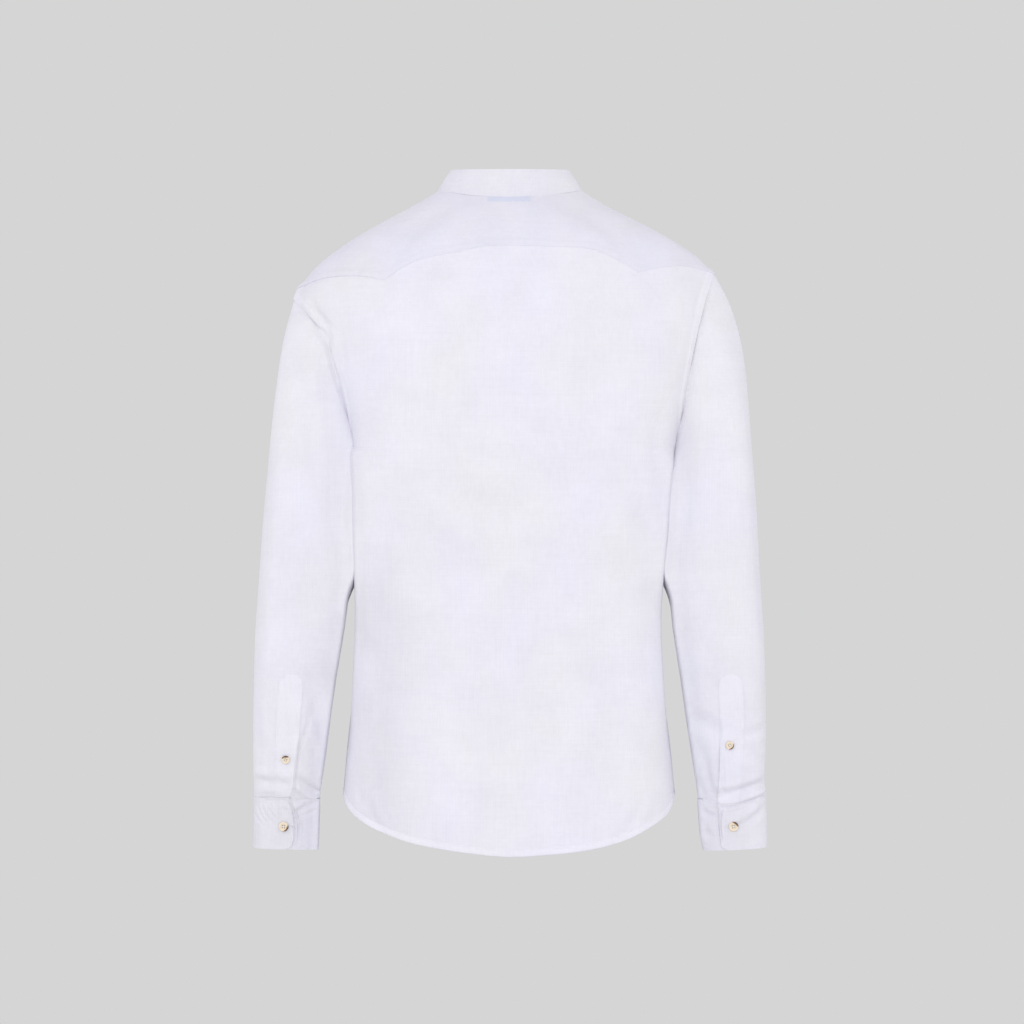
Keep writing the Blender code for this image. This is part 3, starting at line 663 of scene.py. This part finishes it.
def linen(name, tint, turn=0.0):
    mat, tree = newMaterial(name)
    coords = node(tree, "ShaderNodeTexCoord").outputs["Object"]
    warp = stretchedNoise(tree, coords, (1500, 1500, 46), 2, turn)
    weft = stretchedNoise(tree, coords, (46, 46, 1500), 2, turn)
    warpSlub = stretchedNoise(tree, coords, (620, 620, 14), 1, turn)
    weftSlub = stretchedNoise(tree, coords, (14, 14, 620), 1, turn)
    cloud = stretchedNoise(tree, coords, (24, 24, 24), 3)
    fleck = stretchedNoise(tree, coords, (170, 170, 170), 4)
    weave = maths(tree, "ADD", maths(tree, "MULTIPLY", warp, 0.5), maths(tree, "MULTIPLY", weft, 0.5))
    slub = maths(tree, "ADD", maths(tree, "MULTIPLY", warpSlub, 0.62),
                 maths(tree, "MULTIPLY", weftSlub, 0.38))
    # brighter where cloth lies double, darker where shade is painted into this attribute
    layerShade = node(tree, "ShaderNodeAttribute", attribute_name="doubledAndShade").outputs["Fac"]
    tone = maths(tree, "MULTIPLY", weave, linenTones["weave"])
    for part, kind in ((slub, "slub"), (cloud, "cloud"), (fleck, "fleck"), (layerShade, "doubledAndShade")):
        tone = maths(tree, "ADD", tone, maths(tree, "MULTIPLY", part, linenTones[kind]))
    tone = maths(tree, "ADD", tone, linenTones["base"])
    # slow patches of greyer and more violet yarn, and the label showing faintly through
    patch = stretchedNoise(tree, coords, (11, 11, 7), 2)
    hue = node(tree, "ShaderNodeMix", data_type="RGBA")
    # sockets 6, 7 and output 2 of a Mix node are its two colours and their mix
    hue.inputs[6].default_value = (*tint, 1)
    hue.inputs[7].default_value = (tint[0] * 1.012, tint[1] * 1.006, tint[2] * 0.965, 1)
    patch = maths(tree, "MULTIPLY", maths(tree, "SUBTRACT", patch, 0.36), 3.6, clamp=True)
    tree.links.new(patch, hue.inputs[0])
    tape = node(tree, "ShaderNodeAttribute", attribute_name="tape").outputs["Fac"]
    over = node(tree, "ShaderNodeMix", data_type="RGBA")
    over.inputs[7].default_value = (tint[0] * 0.89, tint[1] * 0.935, tint[2] * 0.985, 1)
    tree.links.new(tape, over.inputs[0])
    tree.links.new(hue.outputs[2], over.inputs[6])
    colour = node(tree, "ShaderNodeVectorMath", operation="SCALE")
    tree.links.new(over.outputs[2], colour.inputs[0])
    tree.links.new(tone, colour.inputs["Scale"])
    heights = maths(tree, "ADD", maths(tree, "MULTIPLY", weave, 0.7), maths(tree, "MULTIPLY", slub, 0.5))
    cloth = shaded(tree, colour.outputs["Vector"], heights, 0.35, 0.0004, {
        "Roughness": 0.86, "Specular IOR Level": 0.2, "Sheen Weight": 0.12, "Sheen Roughness": 0.5})
    thin = node(tree, "ShaderNodeBsdfTranslucent")      # a little light comes through
    tree.links.new(colour.outputs["Vector"], thin.inputs["Color"])
    mix = node(tree, "ShaderNodeMixShader")
    mix.inputs["Fac"].default_value = 0.08
    tree.links.new(cloth, mix.inputs[1])
    tree.links.new(thin.outputs[0], mix.inputs[2])
    shown(tree, mix.outputs[0])
    return mat


bodyLinen = linen("linen_body", (0.80, 0.795, 0.875))
# painted shade: the yoke's linen is a little greyer and more violet, for its slope tilted away from the
# light
yokeShadedLinen = linen("linen_yoke_shaded", (0.795, 0.785, 0.882))
leftLinen = linen("linen_sleeve_left", (0.80, 0.795, 0.875), turn=0.12)
rightLinen = linen("linen_sleeve_right", (0.80, 0.795, 0.875), turn=-0.12)


def threadMaterial(name, tint, amount):
    mat, tree = newMaterial(name)
    coords = node(tree, "ShaderNodeTexCoord").outputs["Object"]
    twist = stretchedNoise(tree, coords, (2600, 2600, 2600), 1)
    patch = stretchedNoise(tree, coords, (60, 60, 60), 2)
    tone = maths(tree, "ADD", maths(tree, "MULTIPLY", twist, amount),
                 maths(tree, "MULTIPLY", patch, amount))
    tone = maths(tree, "ADD", tone, 1 - amount)
    colour = node(tree, "ShaderNodeVectorMath", operation="SCALE")
    colour.inputs[0].default_value = tint
    tree.links.new(tone, colour.inputs["Scale"])
    shown(tree, shaded(tree, colour.outputs["Vector"], twist, 0.4, 0.0002, {
        "Roughness": 0.6, "Specular IOR Level": 0.3, "Sheen Weight": 0.2}))
    return mat


seamThread = threadMaterial("thread_white", (0.80, 0.80, 0.87), 0.12)
buttonThread = threadMaterial("thread_button", (0.84, 0.83, 0.84), 0.1)


def finishPiece(piece, material, slotName, *stands):
    piece.data.materials.clear()
    piece.data.materials.append(material)
    for poly in piece.data.polygons:
        poly.use_smooth = True
    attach(piece, "root")
    if stands:
        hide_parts(*stands)
    return piece


def link(name, bm):
    mesh = bpy.data.meshes.new(name)
    bm.to_mesh(mesh)
    piece = bpy.data.objects.new(name, mesh)
    scene.collection.objects.link(piece)
    return piece


def clothPiece(name, material, thick, slotName="linen", roundEdge=0.0):
    bm = sheets[name]
    for e in bm.edges:
        e.smooth = not e.is_boundary
    piece = link("cloth_" + name, bm)
    # the mark of doubled cloth, which carries painted shade too
    mark = piece.data.attributes.new("doubledAndShade", "FLOAT", "POINT")
    mark.data.foreach_set("value", doubledAndShade[name].astype(np.float32))
    if name == "yoke":
        box = np.array([v.co for v in nodes["neck_label"].data.vertices])
        (x0, _, _), (x1, _, z1) = box.min(0), box.max(0)      # the label shows faintly through
        co = np.array([v.co for v in bm.verts])
        over = smoothStep(z1 - 0.0055, z1 - 0.003, co[:, 2]) * (co[:, 1] > 0)
        over = over * smoothStep(x0 - 0.003, x0 + 0.002, co[:, 0])
        over = over * (1 - smoothStep(x1 - 0.002, x1 + 0.003, co[:, 0]))
        mark = piece.data.attributes.new("tape", "FLOAT", "POINT")
        mark.data.foreach_set("value", over.astype(np.float32))
    wall = piece.modifiers.new("wall", "SOLIDIFY")
    wall.thickness = thick
    wall.offset = -1
    wall.use_even_offset = False
    wall.use_rim = True
    if roundEdge:
        soft = piece.modifiers.new("edge", "BEVEL")
        soft.width = roundEdge
        soft.segments = 3
        soft.limit_method = "ANGLE"
        soft.angle_limit = 1.1
    return finishPiece(piece, material, slotName, name)


cuts = {
    "back": dict(flat=(0.55, 0.74), area=0.325, material=bodyLinen, thick=0.0010),
    "yoke": dict(flat=(0.52, 0.19), area=0.063, material=yokeShadedLinen, thick=0.0010),
    "front_left": dict(flat=(0.29, 0.74), area=0.163, material=bodyLinen, thick=0.0010),
    "front_right": dict(flat=(0.29, 0.74), area=0.165, material=bodyLinen, thick=0.0010),
    "front_placket": dict(flat=(0.03, 0.71), area=0.0208, material=bodyLinen, thick=0.0009),
    "collar_band": dict(flat=(0.44, 0.036), area=0.0133, material=bodyLinen, thick=0.0016),
    "sleeve_left": dict(flat=(0.40, 0.60), area=0.174, material=leftLinen, thick=0.0010),
    "sleeve_right": dict(flat=(0.40, 0.60), area=0.176, material=rightLinen, thick=0.0010),
    "cuff_left": dict(flat=(0.27, 0.066), area=0.0166, material=leftLinen, thick=0.0016),
    "cuff_right": dict(flat=(0.27, 0.066), area=0.0166, material=rightLinen, thick=0.0016),
    "sleeve_placket_left": dict(flat=(0.030, 0.15), area=0.004, material=leftLinen, thick=0.0009),
    "sleeve_placket_right": dict(flat=(0.030, 0.15), area=0.004, material=rightLinen, thick=0.0009),
}
for name, cut in cuts.items():
    edge = 0.0005 if ("cuff" in name or "collar" in name) else 0.0
    clothPiece(name, cut["material"], cut["thick"], roundEdge=edge)
print("cloth pieces made")


def edgeRuns(bm, test):
    # boundary vertices in order from the first one, cut into the stretches where test holds
    runs, left = [], dict.fromkeys(v for v in bm.verts if v.is_boundary)
    while left:
        ring = [next(iter(left))]
        while True:
            del left[ring[-1]]
            ahead = [e.other_vert(ring[-1]) for e in ring[-1].link_edges if e.is_boundary]
            ahead = [w for w in ahead if w in left]
            if not ahead:
                break
            ring.append(ahead[0])
        good = [test(w) for w in ring]
        if all(good):
            runs.append((ring, True))
            continue
        start = good.index(False)
        turned = ring[start:] + ring[:start]
        run = []
        for w in turned + turned[:1]:
            if test(w):
                run.append(w)
            else:
                if len(run) > 3:
                    runs.append((run, False))
                run = []
    return runs


def inwardOf(v):
    way = Vector()
    for e in v.link_edges:
        if not e.is_boundary:
            way += (e.other_vert(v).co - v.co).normalized()
    return way.normalized() if way.length > 0.05 else Vector()


trees = {name: BVHTree.FromBMesh(bm) for name, bm in sheets.items()}


def insetLine(name, run, closed, inset):
    # points and normals on the sheet, inset millimetres in from its edge
    line = []
    for v in run:
        spot, normal, _, _ = trees[name].find_nearest(v.co + inwardOf(v) * inset * 0.001)
        line.append((spot, normal))
    if closed:
        line.append(line[0])
    return line


stitchUnit = bpy.data.meshes.new("stitch_unit")
unitNet = bmesh.new()
bmesh.ops.create_icosphere(unitNet, subdivisions=1, radius=1.0)
bmesh.ops.scale(unitNet, verts=unitNet.verts, vec=(1.05, 0.24, 0.17))
unitNet.to_mesh(stitchUnit)
unitCount = len(stitchUnit.vertices)


def sewAlong(net, line, pitch=2.8, scale=1.0, across=False, high=0.05):
    # one stitch every pitch millimetres
    carried = pitch * 0.5
    for (a, na), (b, nb) in zip(line, line[1:]):
        step = (b - a).length * 1000
        if step < 1e-6:
            continue
        along = (b - a).normalized()
        while carried <= step:
            t = carried / step
            normal = na.lerp(nb, t).normalized()
            side = normal.cross(along).normalized()
            ahead = side.cross(normal)
            if across:
                ahead, side = side, -ahead
            lean = random.uniform(-0.06, 0.06)
            ahead = (ahead + side * lean).normalized()
            place = Matrix.Translation(a.lerp(b, t) + normal * high * 0.001)
            turn = Matrix((ahead, normal.cross(ahead), normal)).transposed().to_4x4()
            size = 0.001 * scale * random.uniform(0.92, 1.06)
            net.from_mesh(stitchUnit)
            net.verts.ensure_lookup_table()
            bmesh.ops.transform(net, matrix=place @ turn @ Matrix.Scale(size, 4),
                                verts=net.verts[-unitCount:])
            carried += pitch
        carried -= step


def seamTest(neighbours, limit=0.0026):
    # whether a vertex lies on the seam with one of the neighbours
    tree = treeOf([v.co for n in neighbours for v in sheets[n].verts if v.is_boundary])
    return lambda v: tree.find(v.co)[2] < limit


# sheet, what the edge meets (None for a free edge all round), insets of its stitch lines
stitchLines = [
    ("yoke", ("back",), (1.7,)),
    ("yoke", ("front_left", "front_right"), (1.7,)),
    ("back", ("front_left", "front_right"), (1.5, 6.8)),
    ("back", sleeveSheets, (7.6,)),
    ("yoke", sleeveSheets, (7.6,)),
    ("front_left", ("sleeve_left",), (7.6,)),
    ("front_right", ("sleeve_right",), (7.6,)),
    ("collar_band", None, (1.9,)),
    ("cuff_left", None, (1.7, 5.5)),
    ("cuff_right", None, (1.7, 5.5)),
    ("sleeve_placket_left", None, (1.5,)),
    ("sleeve_placket_right", None, (1.5,)),
    ("front_placket", None, (2.6,)),
    ("neck_label", None, (1.2,)),
]
seamNet, trimNet = bmesh.new(), bmesh.new()
for name, neighbours, insets in stitchLines:
    target = seamNet if name in bodySheets else trimNet
    test = seamTest(neighbours) if neighbours else (lambda v: True)
    for run, closed in edgeRuns(sheets[name], test):
        for inset in insets:
            sewAlong(target, insetLine(name, run, closed, inset))


def isHem(name):
    others = [n for n in bodySheets + sleeveSheets if n != name]
    meets = seamTest(others, 0.0015)
    xs = [v.co.x for v in sheets[name].verts]
    front = {"front_left": min(xs), "front_right": max(xs)}.get(name, 9)
    return lambda v: v.co.z < -0.5 and abs(v.co.x - front) > 0.0006 and not meets(v)


# the folded hem: inset and height of each row round the cloth's edge, in millimetres
hemForm = [(7.6, -0.35), (7.4, 0.16), (6.6, 0.34), (4.0, 0.4), (1.6, 0.4), (0.2, 0.3), (-0.65, -0.1),
           (-0.9, -0.7), (-0.6, -1.3), (0.3, -1.65), (3.0, -1.7), (6.8, -1.55), (7.5, -0.8)]


def sweptBand(name, run, form):
    sheet, net = trees[name], bmesh.new()
    rows = []
    for v in run:
        inward, normal = inwardOf(v), v.normal
        row = []
        for inset, height in form:
            if inset > 0.5:
                spot, normal, _, _ = sheet.find_nearest(v.co + inward * inset * 0.001)
            else:
                spot, normal = v.co + inward * inset * 0.001, v.normal
            row.append(spot + normal * height * 0.001)
        rows.append(row)
    first = bmesh.ops.create_vert(net, co=rows[0][0])["vert"][0]
    ring = [first]
    for co in rows[0][1:]:
        made = bmesh.ops.extrude_vert_indiv(net, verts=[ring[-1]])["verts"][0]
        made.co = co
        ring.append(made)
    net.edges.new((ring[-1], ring[0]))
    edges = [e for e in net.edges]
    for row in rows[1:]:
        places = {tuple(round(c, 7) for c in v.co): co for v, co in zip(ring, row)}
        made = bmesh.ops.extrude_edge_only(net, edges=edges)["geom"]
        fresh = [g for g in made if isinstance(g, bmesh.types.BMVert)]
        edges = [g for g in made if isinstance(g, bmesh.types.BMEdge)]
        byPlace = {tuple(round(c, 7) for c in v.co): v for v in fresh}
        ring = [byPlace[key] for key in places]
        for v, co in zip(ring, places.values()):
            v.co = co
        edges = [e for e in edges if e.is_boundary]
    bmesh.ops.holes_fill(net, edges=[e for e in net.edges if e.is_boundary])
    bmesh.ops.recalc_face_normals(net, faces=net.faces)
    return net


for name in ("back", "front_left", "front_right"):
    for run, closed in edgeRuns(sheets[name], isHem(name)):
        hem = link("hem_" + name, sweptBand(name, run, hemForm))
        mark = hem.data.attributes.new("doubledAndShade", "FLOAT", "POINT")
        mark.data.foreach_set("value", np.ones(len(hem.data.vertices), dtype=np.float32))
        finishPiece(hem, bodyLinen, "linen")
        sewAlong(seamNet, insetLine(name, run, closed, 6.4), high=0.42)
print("hem and seams sewn:", len(seamNet.faces) + len(trimNet.faces), "stitch faces")


def buttonNet(radius, thick):
    net = bmesh.new()
    form = [(0, -0.5), (0.86, -0.5), (0.96, -0.34), (1.0, -0.05), (0.97, 0.24), (0.89, 0.42), (0.79, 0.5),
            (0.69, 0.47), (0.6, 0.32), (0.5, 0.2), (0, 0.17)]
    chain = [bmesh.ops.create_vert(net, co=(0, 0, form[0][1] * thick))["vert"][0]]
    for r, z in form[1:]:
        made = bmesh.ops.extrude_vert_indiv(net, verts=[chain[-1]])["verts"][0]
        made.co = (r * radius, 0, z * thick)
        chain.append(made)
    bmesh.ops.spin(net, geom=net.verts[:] + net.edges[:], cent=(0, 0, 0), axis=(0, 0, 1),
                   angle=math.tau, steps=40, use_merge=True)
    bmesh.ops.remove_doubles(net, verts=net.verts, dist=1e-6)
    bmesh.ops.recalc_face_normals(net, faces=net.faces)
    return net


# metres: the disc, how far its four holes and its thread lie from the middle, and half its buttonhole
buttonSizes = {
    "large": dict(radius=0.0058, thick=0.0026, spread=0.00155, hole=0.00072, slit=0.0074, sink=0.0013),
    "small": dict(radius=0.0049, thick=0.0023, spread=0.00130, hole=0.00062, slit=0.0062, sink=0.00115),
}


def holedButton(name):
    size = buttonSizes[name]
    radius, thick, spread, hole = size["radius"], size["thick"], size["spread"], size["hole"]
    net = buttonNet(radius, thick)
    disc = link(name + ".disc", net)
    drillNet = bmesh.new()
    for k in range(4):
        a = math.pi / 4 + k * math.pi / 2
        move = Matrix.Translation((spread * math.cos(a), spread * math.sin(a), 0))
        bmesh.ops.create_cone(drillNet, cap_ends=True, segments=14, radius1=hole, radius2=hole,
                              depth=thick * 2, matrix=move)
    drill = link(name + ".drill", drillNet)
    cut = disc.modifiers.new("holes", "BOOLEAN")
    cut.object = drill
    cut.operation = "DIFFERENCE"
    cut.solver = "EXACT"
    graph = bpy.context.evaluated_depsgraph_get()
    made = bpy.data.meshes.new_from_object(disc.evaluated_get(graph))
    for spare in (disc, drill):
        bpy.data.objects.remove(spare)
    return made


def placeOf(name):
    # centre and outward axis of a button from its own node
    mesh = nodes[name].data
    co = np.array([v.co for v in mesh.vertices])
    centre = (co.min(0) + co.max(0)) / 2
    _, _, axes = np.linalg.svd(co - co.mean(0), full_matrices=False)
    axis = Vector(axes[2])
    inside = Vector((0, 0, centre[2]))
    if "sleeve" in name or "cuff" in name:
        inside.x = 0.262 * (1 if centre[0] > 0 else -1)
    if axis.dot(Vector(centre) - inside) < 0:
        axis.negate()
    return Vector(co.mean(0)), axis


horn, hornTree = newMaterial("horn")
local = node(hornTree, "ShaderNodeAttribute", attribute_name="local").outputs["Vector"]
grain = stretchedNoise(hornTree, local, (2.2, 5.5, 3), 3)
bands = stretchedNoise(hornTree, local, (1.2, 1.2, 1.2), 2)
split = node(hornTree, "ShaderNodeSeparateXYZ")
hornTree.links.new(local, split.inputs[0])
bark = maths(hornTree, "ADD", split.outputs["X"], maths(hornTree, "MULTIPLY", bands, 0.7))
bark = maths(hornTree, "ADD", bark, maths(hornTree, "MULTIPLY", grain, 0.4))
bark = maths(hornTree, "SUBTRACT", bark, 0.42)
ramp = node(hornTree, "ShaderNodeValToRGB")
ramp.color_ramp.elements[0].position = 0.58
ramp.color_ramp.elements[0].color = (0.80, 0.69, 0.53, 1)
ramp.color_ramp.elements[1].position = 0.90
ramp.color_ramp.elements[1].color = (0.060, 0.024, 0.010, 1)
tan = ramp.color_ramp.elements.new(0.73)
tan.color = (0.46, 0.26, 0.11, 1)
hornTree.links.new(bark, ramp.inputs["Fac"])
shown(hornTree, shaded(hornTree, ramp.outputs["Color"], grain, 0.25, 0.0002, {
    "Roughness": 0.34, "Coat Weight": 0.25}))

discs = {name: holedButton(name) for name in buttonSizes}
# button: turn of its dark side, way the buttonhole runs
buttonTurns = {
    "button_sleeve_left": (100, "up"), "button_cuff_left": (-35, "in"),
    "button_sleeve_right": (-40, "up"), "button_cuff_right": (50, "in"),
    "button_collar": (20, "across"),
}
for k in range(1, 8):
    buttonTurns[f"button_front_{k}"] = ((k * 67) % 360, "up")
threadNet, holeNet = bmesh.new(), bmesh.new()
for name, (turn, hole) in buttonTurns.items():
    centre, axis = placeOf(name)
    size = "small" if "sleeve" in name else "large"
    button = buttonSizes[size]
    up = Vector((0, 0, 1))
    across = up.cross(axis).normalized()
    up = axis.cross(across).normalized()
    seat = Matrix((across, up, axis)).transposed().to_4x4()
    spin = Matrix.Rotation(random.uniform(-0.5, 0.5), 4, "Z")
    place = Matrix.Translation(centre) @ seat @ spin
    mesh = discs[size].copy()
    piece = bpy.data.objects.new("horn_" + name, mesh)
    scene.collection.objects.link(piece)
    radius = button["radius"]
    mark = mesh.attributes.new("local", "FLOAT_VECTOR", "POINT")
    a = math.radians(turn)
    spun = [spin @ v.co for v in mesh.vertices]
    away = random.uniform(-5, 5)
    values = []
    for p in spun:
        along = (p.x * math.cos(a) + p.y * math.sin(a)) / radius
        beside = (p.y * math.cos(a) - p.x * math.sin(a)) / radius
        # the dark horn gathers at the rim
        values.append((along * (0.4 + 0.8 * math.hypot(along, beside)), beside, p.z / radius + away))
    mark.data.foreach_set("vector", [c for value in values for c in value])
    mesh.transform(place)
    finishPiece(piece, horn, "horn", name)
    for poly in mesh.polygons:
        poly.use_smooth = len(poly.vertices) < 9
    # thread through the holes, and a neat buttonhole under the rim
    for k in range(2):
        b = math.pi / 4 + k * math.pi / 2
        for shift in (-0.0003, 0.0003):
            off = Vector((-math.sin(b), math.cos(b), 0)) * shift
            strand = Matrix.Translation(off + Vector((0, 0, 0.00070 + 0.00025 * k)))
            scale = Matrix.Diagonal((button["spread"] * 1.1, 0.0016, 0.0022, 1))
            lie = place @ strand @ Matrix.Rotation(b, 4, "Z") @ scale
            threadNet.from_mesh(stitchUnit)
            threadNet.verts.ensure_lookup_table()
            bmesh.ops.transform(threadNet, matrix=lie, verts=threadNet.verts[-unitCount:])
    longWay, offset = {"up": (up, 0.0), "across": (across, 0.0),
                       "in": (across, 0.0045 if centre.x > 0 else -0.0045)}[hole]
    sink = centre - axis * button["sink"] + longWay * offset
    side = axis.cross(longWay).normalized()
    oval = []
    for i in range(25):
        t = math.tau * i / 24
        spot = sink + longWay * (button["slit"] * math.cos(t)) + side * (0.0009 * math.sin(t))
        oval.append((spot, axis))
    sewAlong(holeNet, oval, pitch=0.62, scale=0.5, across=True, high=0.12)
finishPiece(link("button_thread", threadNet), buttonThread, "horn")
finishPiece(link("buttonholes", holeNet), seamThread, "linen")
finishPiece(link("seam_stitches", seamNet), seamThread, "linen")
finishPiece(link("trim_stitches", trimNet), seamThread, "linen")
bpy.data.meshes.remove(stitchUnit)
for spare in discs.values():
    bpy.data.meshes.remove(spare)


# the blank neck label
tape, tapeTree = newMaterial("label_tape")
tapeCoords = node(tapeTree, "ShaderNodeTexCoord").outputs["Object"]
ribs = stretchedNoise(tapeTree, tapeCoords, (300, 300, 3200), 1)
tapeTone = maths(tapeTree, "ADD", maths(tapeTree, "MULTIPLY", ribs, 0.25), 0.8)
tapeColour = node(tapeTree, "ShaderNodeVectorMath", operation="SCALE")
tapeColour.inputs[0].default_value = (0.42, 0.52, 0.70)
tapeTree.links.new(tapeTone, tapeColour.inputs["Scale"])
shown(tapeTree, shaded(tapeTree, tapeColour.outputs["Vector"], ribs, 0.4, 0.0003, {"Roughness": 0.55}))
labelCut = dict(flat=(0.048, 0.012), thick=0.0008)
label = clothPiece("neck_label", tape, labelCut["thick"], slotName="label_tape")
print("buttons and label made")

camera = bpy.data.objects.new("camera", bpy.data.cameras.new("camera"))
scene.collection.objects.link(camera)
camera.data.lens = 135
camera.data.sensor_width = 36
camera.data.shift_x = 2 / 1024
camera.location = (0, 4.563, -0.3694)      # square on from behind, level with the middle of the shirt
camera.rotation_euler = (math.pi / 2, 0, math.pi)
camera.data.dof.use_dof = False
scene.camera = camera


def areaLight(name, place, aim, size, power):
    data = bpy.data.lights.new(name, "AREA")
    data.shape = "SQUARE"
    data.size = size
    data.energy = power
    lamp = bpy.data.objects.new(name, data)
    scene.collection.objects.link(lamp)
    lamp.location = place
    way = Vector(aim) - Vector(place)
    lamp.rotation_euler = way.to_track_quat("-Z", "Y").to_euler()


middle = (0, 0, -0.38)
lamps = {
    "key": dict(place=(0.15, 4.2, -0.1), aim=middle, size=2.6, power=52),
    "fill_left": dict(place=(3.2, 0.6, -0.2), aim=middle, size=2.4, power=9),
    "fill_right": dict(place=(-3.2, 0.6, -0.2), aim=middle, size=2.4, power=9),
}
for name, lamp in lamps.items():
    areaLight(name, **lamp)
world = bpy.data.worlds.new("studio")
scene.world = world
world.use_nodes = True
sky = world.node_tree
sky.nodes.clear()
tent = node(sky, "ShaderNodeBackground")      # the light tent round the shirt
tent.inputs["Color"].default_value = (0.985, 0.98, 1.0, 1)
tent.inputs["Strength"].default_value = 0.89
backdrop = node(sky, "ShaderNodeBackground")
backdrop.inputs["Color"].default_value = (0.665, 0.665, 0.665, 1)
choose = node(sky, "ShaderNodeMixShader")
sky.links.new(node(sky, "ShaderNodeLightPath").outputs["Is Camera Ray"], choose.inputs["Fac"])
sky.links.new(tent.outputs[0], choose.inputs[1])
sky.links.new(backdrop.outputs[0], choose.inputs[2])
sky.links.new(choose.outputs[0], node(sky, "ShaderNodeOutputWorld").inputs["Surface"])
scene.view_settings.view_transform = "Standard"

floorNet = bmesh.new()
bmesh.ops.create_circle(floorNet, cap_ends=True, segments=64, radius=1.1)
bmesh.ops.translate(floorNet, verts=floorNet.verts, vec=(0, 0, -1.45))
floor = link("floor", floorNet)
floorPaint, floorTree = newMaterial("floor_paint")
floorShader = node(floorTree, "ShaderNodeBsdfPrincipled")
floorShader.inputs["Base Color"].default_value = (0.62, 0.62, 0.62, 1)
floorShader.inputs["Roughness"].default_value = 0.9
shown(floorTree, floorShader.outputs[0])
floor.data.materials.append(floorPaint)
floor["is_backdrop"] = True

low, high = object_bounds()
print("size", [round(v, 4) for v in low], [round(v, 4) for v in high])
